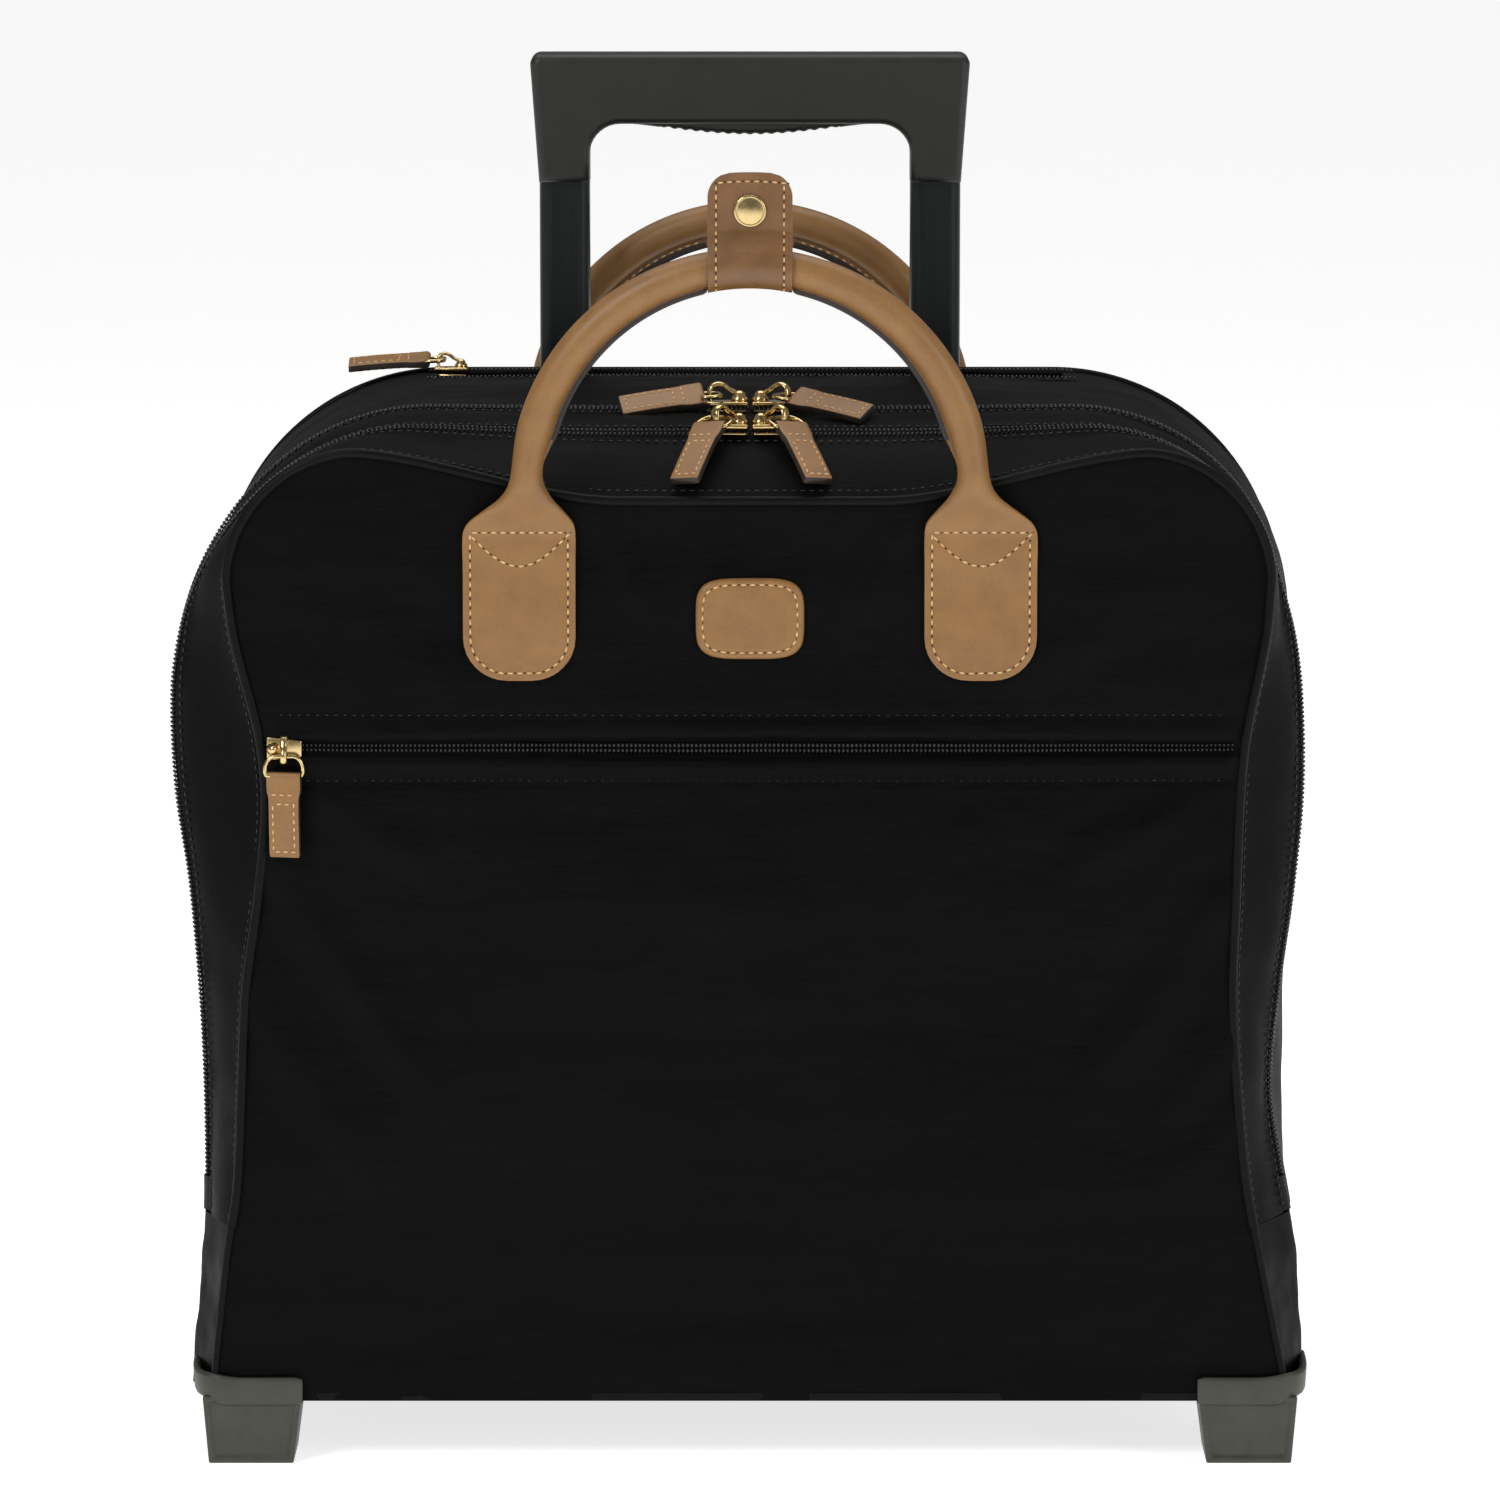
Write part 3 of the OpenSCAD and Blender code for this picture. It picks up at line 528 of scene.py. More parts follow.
def skin(y, k, foot=FOOT, out=0.0):
    """The same point moved out from the cloth."""
    way = (rim(y, min(k + 0.01, 5), foot) - rim(y, max(k - 0.01, 0), foot)).normalized()
    return rim(y, k, foot) + Vector((-way.z, 0, way.x)) * out


def girth_lengths(foot):
    """Lengths of the case's side, shoulder, top, shoulder and side."""
    return 302 - foot, 138, 238, 138, 302 - foot


def girth(u, foot):
    """Even steps u from 0 to 1 round the case, as the k that rim takes."""
    lengths = girth_lengths(foot)
    d = u * sum(lengths)
    for i, length in enumerate(lengths):
        if d <= length or i == 4:
            return i + min(d / length, 1)
        d -= length


def crumple(p, size, height):
    """Soft unevenness of cloth: a height in mm at a point, of waves about size long."""
    p = Vector(p) / size
    return height * (noise.noise(p) + 0.4 * noise.noise(p * 2.7 + Vector((7, 3, 1))))


def gusset(name, y0, y1, rows, foot, body, stands_for, puff, rough, cut=None):
    """A band of cloth round the case between two seams, a little full between them."""

    def place(u, v):
        y = y0 + (y1 - y0) * v
        k = girth(u, foot)
        full = puff * math.sin(math.pi * v)
        p = rim(y, k, foot)
        return skin(y, k, foot, full + crumple(p, 42, rough) * min(1, 6 * v, 6 * (1 - v)))

    length = sum(girth_lengths(foot))
    piece = woven(name, round(length / 4), rows, place, [nylon, lining], (length, y1 - y0), cut=cut)
    thicken(piece, CLOTH, lined=True)
    return settle(piece, body, stands_for)


def round_the_case(y, foot, out, steps=420):
    """A line round the case at a depth y, out mm off the cloth."""
    return [skin(y, girth(i / steps, foot), foot, out) for i in range(steps + 1)]


UPPER = FOLD + 0.2  # lower edge of the cloth that folds down
SIDES = ((-1, "left"), (1, "right"))
CLOTH = 1.2  # thickness of the nylon with its lining
SLOT_HALF, SLOT_FRONT, SLOT_BACK = 122.4, 64.5, 92.5  # the trolley's slot in the top

gusset("front_side_cloth", FRONT, ZIP1 - 2.9, 9, UPPER, "front_section", ["front_gusset"], 1.6, 1.5)
gusset("middle_side_cloth", ZIP1 + 2.9, ZIP2 - 2.9, 9, UPPER, "middle_section", ["middle_gusset"], 1.4, 1.3)


def trolley_slot(bm):
    """Opens the slot in the rear top that the trolley comes out of."""
    planes = [((x, 0, 0), (1, 0, 0)) for x in (SLOT_HALF, -SLOT_HALF)]
    planes += [((0, y, 0), (0, 1, 0)) for y in (SLOT_FRONT, SLOT_BACK)]
    cut_out(bm, planes, lambda p: abs(p.x) < SLOT_HALF and SLOT_FRONT < p.y < SLOT_BACK and p.z > 380)


gusset("main_side_cloth", ZIP2 + 2.9, BACK, 34, FOOT, "case_body", ["main_gusset"], 1.0, 1.2, cut=trolley_slot)

# ---------- front and back panels ----------

# Folds of the front cloth: both ends in x and z, width and height in mm
FOLDS = [
    (-181, 232, -117, 138, 8, 2.4),
    (-166, 257, -112, 222, 7, 1.6),
    (-186, 178, -140, 104, 9, 1.8),
    (178, 218, 124, 138, 8, 2.4),
    (184, 132, 148, 98, 8, 1.6),
    (164, 252, 110, 220, 7, 1.7),
    (186, 176, 150, 118, 8, 1.6),
    (60, 366, 34, 312, 6, 1.4),
    (-58, 364, -36, 316, 6, 1.2),
    (100, 296, 150, 330, 9, 1.2),
    (-104, 292, -150, 322, 9, 1.2),
    (-20, 238, 30, 150, 26, 1.2),
]
POCKET_Z, POCKET_HALF = 271.5, 179.0


def fold_height(x, z):
    """How high the folds stand at a place: each a ridge with a shallow furrow beside it."""
    total = 0.0
    for x0, z0, x1, z1, width, high in FOLDS:
        dx, dz = x1 - x0, z1 - z0
        length = math.hypot(dx, dz)
        t = ((x - x0) * dx + (z - z0) * dz) / length**2
        d = ((x - x0) * dz - (z - z0) * dx) / length
        if abs(d) > 4 * width or not -0.2 < t < 1.2:
            continue
        fade = ease((t + 0.2) / 0.5) * ease((1.2 - t) / 0.6)
        fold = math.exp(-((d / width) ** 2)) - 0.55 * math.exp(-(((d - 1.5 * width) / width) ** 2))
        total += high * fade * fold
    return total


def front_swell(x, z):
    """How far the front cloth stands out of its flat plane; nothing along the fold."""
    calm = ease(abs(z - FOLD) / 34)
    wide = max(0.0, 1 - (abs(x) / 196) ** 4)
    top = FRONT_TOP - dip(FRONT, x)
    tall = math.sin(math.pi * min((z - FOLD) / (top - FOLD), 1)) if z > FOLD else 0
    swell = 2.0 * wide * tall
    edge = ease((198 - abs(x)) / 14) * ease((top - z) / 12)
    p = (x, 0, z)
    return (swell + (fold_height(x, z) + crumple(p, 55, 0.9) + crumple(p, 17, 0.35)) * edge) * calm


def pocket_relief(x, z):
    """The pocket's two welts: padded lips each side of the zip, drawn in at their stitching."""
    across = ease((POCKET_HALF + 3 - abs(x)) / 5)
    d = abs(z - POCKET_Z)
    open_by = 0.8 + 1.6 * math.cos(math.pi / 2 * min(abs(x) / POCKET_HALF, 1)) ** 2
    groove = -2.6 * (1 - ease((d - open_by) / 1.8))
    lips = 2.4 * math.exp(-(((d - open_by - 4.6) / 3.6) ** 2))
    drawn = -1.0 * math.exp(-(((d - 12.2) / 1.2) ** 2))
    return (groove + lips + drawn) * across


def face_point(y, u, v, foot, shrink=0.0):
    """A point of a flat face: u from its left edge to its right, v from foot to its top edge."""
    half, top, radius = between(STATIONS, y)
    side, turn = top - radius - foot, 1.25 * radius
    d = v * (side + turn)
    k = d / side if d < side else 1 + (d - side) / turn
    left, right = rim(y, k, foot), rim(y, 5 - k, foot)
    left.x += shrink
    right.x -= shrink
    p = left.lerp(right, u)
    if k > 1:
        p.z -= dip(y, p.x) * ease(k - 1) + shrink * (k - 1)
    return p


def front_cloth(u, v):
    p = face_point(FRONT, u, v, FOLD)
    p.y = FRONT - front_swell(p.x, p.z) - pocket_relief(p.x, p.z)
    return p


front = woven("front_cloth", 150, 200, front_cloth, [nylon, lining], (386, 290))
thicken(front, CLOTH, lined=True)
settle(front, "front_section", ["front_panel"])


def side_spot(y, side, z, out=0.0):
    """A place on the case's side at a depth and height."""
    half = between(STATIONS, y)[0]
    return Vector((side * (half + set_out(y, side, z) + out), y, z))


def lower_front(u, v):
    z = FOOT + (FOLD - FOOT) * v
    left, right = side_spot(FRONT, -1, z), side_spot(FRONT, 1, z)
    p = left.lerp(right, u)
    p.y = FRONT - front_swell(p.x, z)
    return p


lower = woven("lower_front_cloth", 130, 26, lower_front, [nylon, lining], (400, 66))
thicken(lower, CLOTH, lined=True)
settle(lower, "case_body", ["front_base_wall"])
for side, name in SIDES:

    def lower_side(u, v):
        y, z = FRONT + (ZIP2 + 3.1 - FRONT) * u, FOOT + (FOLD - FOOT) * v
        swell = crumple((0, y, z), 26, 1.4) * ease((z - FOOT) / 12) * ease((FOLD - z) / 14)
        return side_spot(y, side, z, swell + 1.0 * math.sin(math.pi * u))

    piece = woven("lower_side_cloth_" + name, 26, 24, lower_side, [nylon, lining], (66, 66))
    settle(thicken(piece, CLOTH, lined=True), "case_body")


def back_cloth(u, v):
    p = face_point(BACK, u, v, FOOT)
    edge = ease((206 - abs(p.x)) / 16) * ease((389 - p.z) / 14) * ease((p.z - 26) / 14)
    p.y = BACK + (crumple((p.x, 40, p.z), 60, 0.8) + 1.0) * edge
    return p


def wheel_notches(bm):
    """Leaves the lower corners of the back open for the wheels."""
    x, z = 170, 60
    cut_out(
        bm,
        [((x, 0, 0), (1, 0, 0)), ((-x, 0, 0), (1, 0, 0)), ((0, 0, z), (0, 0, 1))],
        lambda p: abs(p.x) > x and p.z < z,
    )


back = woven("back_cloth", 110, 110, back_cloth, [nylon, lining], (414, 366), cut=wheel_notches)
settle(thicken(back, CLOTH, lined=True), "case_body", ["back_panel"])


def divider_cloth(u, v):
    p = face_point(-64, u, v, UPPER + 0.4, shrink=2.6)
    p.y = -64 + 0.8 * math.sin(math.pi * u) * math.sin(math.pi * v)
    p.z -= 2.2 * v
    return p


divider = woven("divider_wall", 60, 60, divider_cloth, [lining], (410, 296))
settle(thicken(divider, 1.8, offset=0), "middle_section", ["middle_wall"])

# Piping in the front and back seams
piping = wire("front_piping", round_the_case(FRONT - 0.3, UPPER, 0.4), 1.9, [binding])
settle(piping, "front_section")
settle(wire("back_piping", round_the_case(BACK, 62, 0.2), 1.4, [binding]), "case_body")
for side, name in SIDES:
    line = [side_spot(FRONT, side, FOOT + (FOLD - FOOT) * i / 30, 0.4) for i in range(31)]
    settle(wire("lower_piping_" + name, line, 1.5, [binding]), "case_body")

# Sewn lines beside the seams and zips
for name, body, foot, rows in (
    ("front_side_seam", "front_section", UPPER + 2, (FRONT + 4, ZIP1 - 5.2)),
    ("middle_side_seam", "middle_section", UPPER + 2, (ZIP1 + 5.2, ZIP2 - 5.2)),
    ("main_side_seam", "case_body", FOOT + 4, (ZIP2 + 5.2,)),
):
    for i, y in enumerate(rows):
        around = round_the_case(y, foot, 0.9 if i else 0.7)
        hub = Vector((0, y, 200))
        line = [(around, lambda p, hub=hub: (p - hub).normalized())]
        stitches(f"{name}_{i}", line, body, black_thread, 3.4, 2.4, 0.3)
pocket_lines = []
for z in (POCKET_Z + 12.2, POCKET_Z - 12.2):
    xs = [-POCKET_HALF + 4 + (2 * POCKET_HALF - 8) * i / 90 for i in range(91)]
    row = [Vector((x, FRONT - front_swell(x, z) - pocket_relief(x, z), z)) for x in xs]
    pocket_lines.append((row, Vector((0, -1, 0))))
stitches("pocket_seam", pocket_lines, "front_section", black_thread, 3.4, 2.4, 0.32)

# ---------- zips ----------


def zip_side(name, y, toward, foot, body, node):
    """One side of a zip round the case: its tape, and its coil at the meeting edge."""

    def tape_spot(u, v):
        return skin(y + toward * (0.2 + 4.6 * v), girth(u, foot), foot, 0.1 - 0.35 * v)

    band = woven(name + "_tape", 240, 2, tape_spot, [tape], (1000, 5))
    settle(thicken(band, 0.5), body, [node])
    teeth = []
    for place, way in spaced(round_the_case(y + toward * 1.3, foot, 0.95), 1.7):
        teeth.append((place, way, (place - Vector((0, place.y, 200))).normalized()))
    beads(name + "_coil", teeth, (0.6, 1.25, 0.75), [coil], body, turn=0.22 * toward)


zip_side("front_zip_front", ZIP1, -1, UPPER + 9, "front_section", "front_zip_front_row")
zip_side("front_zip_rear", ZIP1, 1, UPPER + 9, "middle_section", "front_zip_rear_row")
zip_side("main_zip_front", ZIP2, -1, UPPER + 9, "middle_section", "main_zip_front_row")
zip_side("main_zip_rear", ZIP2, 1, UPPER + 9, "case_body", "main_zip_rear_row")


def top_line(y, half, out, steps=120):
    """A line across the rear top, out mm off the cloth."""
    line = []
    for i in range(steps + 1):
        x = -half + 2 * half * i / steps
        edge = max(abs(x) - (HALF - SHOULDER), 0)
        fall = SHOULDER - math.sqrt(SHOULDER**2 - edge**2)
        line.append(Vector((x, y, TOP - dip(y, x) - fall + out)))
    return line


# Rear zip: a row along each edge of the trolley's slot
for name, edge, toward in (("rear_zip_front", SLOT_FRONT, -1), ("rear_zip_rear", SLOT_BACK, 1)):
    inner, outer = top_line(edge, 127, 0.5), top_line(edge + toward * 4.5, 127, 0.3)

    def rear_tape_spot(u, v):
        i = round(u * 120)
        return inner[i].lerp(outer[i], v)

    band = woven(name + "_tape", 120, 2, rear_tape_spot, [tape], (254, 5))
    settle(thicken(band, 0.6), "case_body", ["rear_zip_rows"])
    teeth = [(p, w, Vector((0, 0, 1))) for p, w in spaced(top_line(edge + toward * 0.9, 126, 1.0), 1.6)]
    beads(name + "_coil", teeth, (0.62, 1.0, 0.62), [coil], "case_body", turn=0.22 * toward)
    seam = top_line(edge + toward * 6.5, 124, 0.9)
    stitches(name + "_seam", [(seam, Vector((0, 0, 1)))], "case_body", black_thread, 3.4, 2.4, 0.3)

# Pocket zip: two short rows behind the welts
pocket_teeth = []
for toward in (-1, 1):
    path = []
    for i in range(91):
        x = -POCKET_HALF + 2 * POCKET_HALF * i / 90
        path.append(Vector((x, FRONT - front_swell(x, POCKET_Z) + 1.5, POCKET_Z + toward * 1.0)))
    pocket_teeth += [(p, w, Vector((0, -1, 0))) for p, w in spaced(path, 1.6)]
beads("pocket_zip_coil", pocket_teeth, (0.62, 0.95, 0.6), [coil], "front_section", ["pocket_zip_rows"])

# Cloth tabs that stop the ends of both zips
for side, hand in SIDES:
    for y, body, label in ((ZIP1, "middle_section", "front"), (ZIP2, "case_body", "main")):

        def stop_spot(u, v):
            return side_spot(y + 13 * (u - 0.5), side, 91 + 13 * v, 1.6 - 5 * (u - 0.5) ** 2 * 2 + 0.3 * v)

        patch = woven(f"{label}_zip_stop_{hand}", 8, 8, stop_spot, [binding], (13, 13))
        settle(thicken(patch, 0.9), body)

# ---------- leather ----------

TAB_X, TAB_HALF, TAB_FOOT, TAB_ROUND = 85.0, 20.8, 297.0, 16.0
HANDLE_OFF, HANDLE_R, ARCH_R, ARCH_Z = 8.9, 6.3, 82.0, 369.0
HANDLE_Y = 100 + HANDLE_OFF  # the handles' middle planes are this far before and behind the middle
SEAM_FROM, SEAM_TO = math.radians(5), math.radians(78.8)  # where the roll's seam stands on the arch


def handle_rings():
    """Places along half a handle in mm from its tab's foot: close at the rounded foot and neck."""
    rings = [0, 0, 0.3, 1, 2, 3.3, 5, 7, 9.5, 12.5, 16] + [16 + 3.25 * i for i in range(1, 12)]
    rings += [51.75 + 1.5 * i for i in range(1, 21)]
    arc = 72 + ARCH_R * math.pi / 2
    return rings + [rings[-1] + (arc - rings[-1]) * i / 34 for i in range(1, 35)]


RINGS = handle_rings()


def handle_section(d):
    """Centre, outward direction, half width, half thickness and squareness at d mm."""
    s = TAB_FOOT + d
    lift = ease((s - 350) / 24)
    if s < ARCH_Z:
        x, z, out = -(TAB_X - 3 * ease((s - 350) / 19)), s, Vector((-1, 0, 0))
    else:
        a = (s - ARCH_Z) / ARCH_R
        x, z = -ARCH_R * math.cos(a), ARCH_Z + ARCH_R * math.sin(a)
        out = Vector((-math.cos(a), 0, math.sin(a)))
    widths = [(340, TAB_HALF), (351, TAB_HALF), (355.6, 19.4), (360.2, 14.8), (365, 9.8)]
    widths += [(370.5, 6.6), (377, 5.7), (392, HANDLE_R), (410, HANDLE_R)]
    wide = curve(widths, s)
    if d < TAB_ROUND:
        wide = TAB_HALF - TAB_ROUND + math.sqrt(TAB_ROUND**2 - (TAB_ROUND - d) ** 2)
    thick = 1.2 + (HANDLE_R - 1.2) * ease((s - 349) / 22)
    square = 8 - 6 * ease((s - 350) / 16)
    return x, z, out, wide, thick, square, lift


def rolled_handle(name, front, body_low, body_high, stands_for):
    """A carry handle in one piece of leather: sewn tab, neck and rolled grip, and down again."""
    face = -1 if front else 1
    rows = RINGS + [2 * RINGS[-1] - d for d in reversed(RINGS[:-1])]

    def place(u, v):
        i = round(v * (len(rows) - 1))
        d = min(rows[i], 2 * RINGS[-1] - rows[i])
        flip = -1 if i > len(RINGS) - 1 else 1
        x, z, out, wide, thick, square, lift = handle_section(d)
        swell = front_swell(flip * x, min(z, 352)) if front else 1.2
        y = (101.25 + swell) * (1 - lift) + HANDLE_Y * lift
        if i in (0, len(rows) - 1):
            wide, thick = 0.01, 0.01
        c, s = squarish(math.tau * u, 2 / square)
        p = Vector((x, face * y, z)) + out * wide * c + Vector((0, thick * s, 0))
        return Vector((flip * p.x, p.y, p.z))

    def painted(p, normal):
        return p.z < 350 and abs(normal.y) < 0.62

    mats, size = [hide, edge_paint], (60, 530)
    piece = woven(name, 44, len(rows) - 1, place, mats, size, shut=True, edge_test=painted)
    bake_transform(piece)
    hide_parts(*stands_for)

    # The seam that closes the roll stands on its inner side, sewn and edge painted
    for flip, hand in ((1, "left"), (-1, "right")):
        back, deep = (2.6, 1.9) if front else (0.0, 2.6)

        def seam_spot(u, v):
            a = SEAM_FROM + (SEAM_TO - SEAM_FROM) * v
            out = Vector((-math.cos(a), 0, math.sin(a)))
            grow = ease(v / 0.16) * ease((1 - v) / 0.022)
            c, s = squarish(math.tau * u, 0.5)
            r = ARCH_R - 5.2 - (deep + deep * c) * (0.1 + 0.9 * grow)
            p = out * r + Vector((0, face * HANDLE_Y + back + 1.3 * s * grow, ARCH_Z))
            return Vector((flip * p.x, p.y, p.z))

        def inner_edge(p, normal):
            r = math.hypot(p.x, p.z - ARCH_Z)
            return r < ARCH_R - (7.2 if front else 8.6)

        # The seam's leather takes the darker cowhide: painted shade on the roll's inner side
        label, mats = f"{name}_seam_{hand}", [hide_shaded, edge_paint]
        seam = woven(label, 16, 60, seam_spot, mats, (20, 100), shut=True, edge_test=inner_edge)
        settle(seam, body_high)
        for way in (1,) if front else (-1, 1):
            arc = []
            for i in range(50):
                a = SEAM_FROM + 0.14 + (SEAM_TO - SEAM_FROM - 0.2) * i / 49
                x, z = -flip * (ARCH_R - 7.4) * math.cos(a), ARCH_Z + (ARCH_R - 7.4) * math.sin(a)
                arc.append(Vector((x, face * HANDLE_Y + back + way * 1.3, z)))
            line = [(arc, Vector((0, way, 0)))]
            stitches(f"{label}_{'a' if way < 0 else 'b'}", line, body_high, gold_thread, 3.5, 2.4, 0.4)

    # Tab stitching: border, a line across the neck and the arc that hangs from it
    for flip, hand in SIDES:
        inset, top = 2.8, 352.0
        half, radius = TAB_HALF - inset, TAB_ROUND - inset

        def on_tab(x, z):
            thick, _, lift = handle_section(z - TAB_FOOT)[4:]
            swell = front_swell(flip * TAB_X, z) if front else 1.2
            y = (101.25 + swell) * (1 - lift) + HANDLE_Y * lift + thick
            return Vector((flip * TAB_X + x, face * y, z))

        steps = int((top - TAB_FOOT - TAB_ROUND) / 2)
        border = [on_tab(-half, top - 2 * i) for i in range(steps)]
        for i in range(25):
            a = math.pi * (1 + i / 24)
            flat = half - radius
            x = math.cos(a) * radius + (flat if math.cos(a) > 0 else -flat)
            border.append(on_tab(x, TAB_FOOT + TAB_ROUND + math.sin(a) * radius))
        border += [on_tab(half, TAB_FOOT + TAB_ROUND + 2 * i) for i in range(1, steps)]
        across = [on_tab(-half + 2 * half * i / 20, top) for i in range(21)]
        arc = []
        for i in range(25):
            arc.append(on_tab(-half + 2 * half * i / 24, top - 1 - 11.5 * math.sin(math.pi * i / 24)))
        lines = [(line, Vector((0, face, 0))) for line in (border, across, arc)]
        stitches(f"{name}_tab_{hand}", lines, body_low, gold_thread, 3.5, 2.4, 0.46, needle_hole)


for end, on_body in (("front", "front_section"), ("rear", "case_body")):
    node = end + "_handle"
    rolled_handle(end + "_carry_handle", end == "front", on_body, node, [node + "_tabs", node])

# Wrap strap: one layer each side of the handle, the front one fastened at the snap
STRAP_HALF, STRAP_MID, STRAP_TOP, STRAP_LIFT = 15.5, 7.5, 34.0, math.radians(30)
STRAP_ROUND = 8.0  # corner of the strap's ends
LAYER_MID = 1.15
CURL = STRAP_MID * (math.pi / 2 + STRAP_LIFT)  # leather round the handle, up to where it leaves it
LEAVE_Y, LEAVE_R = STRAP_MID * math.cos(STRAP_LIFT), STRAP_MID * math.sin(STRAP_LIFT)
TANGENT = (LEAVE_Y - LAYER_MID) / math.sin(STRAP_LIFT)
PINCH = LEAVE_R + TANGENT * math.cos(STRAP_LIFT)


def strap_profile(d):
    """Distance from the handle's middle plane and height over its axis, d mm up the strap from
    under the handle."""
    if d < CURL:
        a = -math.pi / 2 + d / STRAP_MID
        return STRAP_MID * math.cos(a), STRAP_MID * math.sin(a)
    t = (d - CURL) / TANGENT
    if t < 1:
        bend = 0.7 * math.sin(math.pi * t) ** 2
        return LEAVE_Y - (LEAVE_Y - LAYER_MID) * t + bend, LEAVE_R + (PINCH - LEAVE_R) * t
    return LAYER_MID, PINCH + d - CURL - TANGENT


def strap_spot(x, d, way, out=0.0):
    """A place on the strap; way is -1 on its front layer and 1 on its back layer."""
    y, r = strap_profile(d)
    y1, r1 = strap_profile(d + 0.2)
    normal = Vector((r1 - r, y - y1)).normalized()
    y, r = y + normal.x * out, r + normal.y * out
    z = ARCH_Z + math.sqrt((ARCH_R + r) ** 2 - x * x)
    return Vector((x, -HANDLE_Y + way * y, z))


def strap_layer(name, way, top):
    """One layer of the strap, as high over the handle as top says."""
    length = CURL + TANGENT + top - PINCH

    def place(u, v):
        d = length * v
        left = length - d
        half = STRAP_HALF
        if left <= STRAP_ROUND:
            half += math.sqrt(max(STRAP_ROUND**2 - (STRAP_ROUND - left) ** 2, 0)) - STRAP_ROUND
        return strap_spot((2 * u - 1) * half, d, way)

    # The strap takes the darker cowhide: mostly painted shade
    piece = woven(name, 14, 64, place, [hide_shaded], (31, length))
    thicken(piece, 2.0, offset=0)
    soften(piece, 0.5, 2, 50)
    return piece


flap = strap_layer("strap_front_layer", -1, STRAP_TOP)
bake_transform(flap)
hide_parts("wrap_flap")
settle(strap_layer("strap_back_layer", 1, STRAP_TOP - 5), "front_handle", ["wrap_strap"])
SEWN_HALF = STRAP_HALF - 3.1
SEWN_TOP = CURL + TANGENT + STRAP_TOP - PINCH - 3.2


def strap_facing(p):
    """The strap faces down a little where it curls under the handle."""
    return Vector((0, -1, -0.6 if p.z < 449 else 0)).normalized()


for body, d0, d1, label in (
    ("front_handle", 2, CURL + 0.5, "low"),
    ("wrap_flap", CURL + 2, SEWN_TOP, "high"),
):
    lines = []
    for x in (-SEWN_HALF, SEWN_HALF):
        steps = [d0 + (d1 - d0) * i / 40 for i in range(41)]
        lines.append(([strap_spot(x, d, -1, 1.0) for d in steps], strap_facing))
    if label == "high":
        xs = [SEWN_HALF * (i / 10 - 1) for i in range(21)]
        lines.append(([strap_spot(x, SEWN_TOP, -1, 1.0) for x in xs], Vector((0, -1, 0))))
    stitches("strap_stitching_" + label, lines, body, gold_thread, 3.3, 2.2, 0.4, needle_hole)

bm = bmesh.new()
cap = [(0, 0), (5.8, 0), (6, 0.3), (5.9, 0.8), (5.4, 1.1), (5.0, 0.95), (4.6, 1.0), (3, 1.45), (1.5, 1.65), (0, 1.7)]
turned(bm, cap, (0, -HANDLE_Y - LAYER_MID - 1.0, 471), (0, -1, 0))
settle(new_piece("snap_cap_brass", bm, [brass]), "wrap_flap", ["snap_cap"])
dress(["snap_socket"], brass)

# Bare leather patch with a sewn border
PATCH_Z, PATCH_HALF = 320.0, (20.0, 15.0)


def patch_spot(u, v):
    c, s = squarish(math.tau * u, 0.5)
    r = min(1.0, v / 0.88)
    x, z = PATCH_HALF[0] * c * r, PATCH_HALF[1] * s * r
    high = 2.4 - 1.0 * max(0.0, r - 0.93) / 0.07 - 0.25 * math.exp(-(((r - 0.84) / 0.04) ** 2))
    if v > 0.88:
        high = 1.4 * (1 - (v - 0.88) / 0.12)
    return Vector((x, FRONT - front_swell(x, PATCH_Z + z) - high, PATCH_Z + z))


patch = woven(
    "bare_leather_patch",
    72,
    26,
    patch_spot,
    [hide, edge_paint],
    (110, 18),
    shut=True,
    edge_test=lambda p, n: abs(n.y) < 0.5,
)
settle(patch, "front_section", ["name_patch"])
border = []
for i in range(121):
    c, s = squarish(math.tau * i / 120, 0.5)
    x, z = 17.5 * c, PATCH_Z + 12.6 * s
    border.append(Vector((x, FRONT - front_swell(x, z) - 2.2, z)))
lines = [(border, Vector((0, -1, 0)))]
stitches("patch_stitching", lines, "front_section", gold_thread, 3.4, 2.3, 0.42, needle_hole)

# ---------- zip sliders and pulls ----------

HINGE_OUT, HINGE_UP, RING_L, PULL_HALF, PULL_THICK = 2.4, 4.6, 7.2, 6.0, 1.5


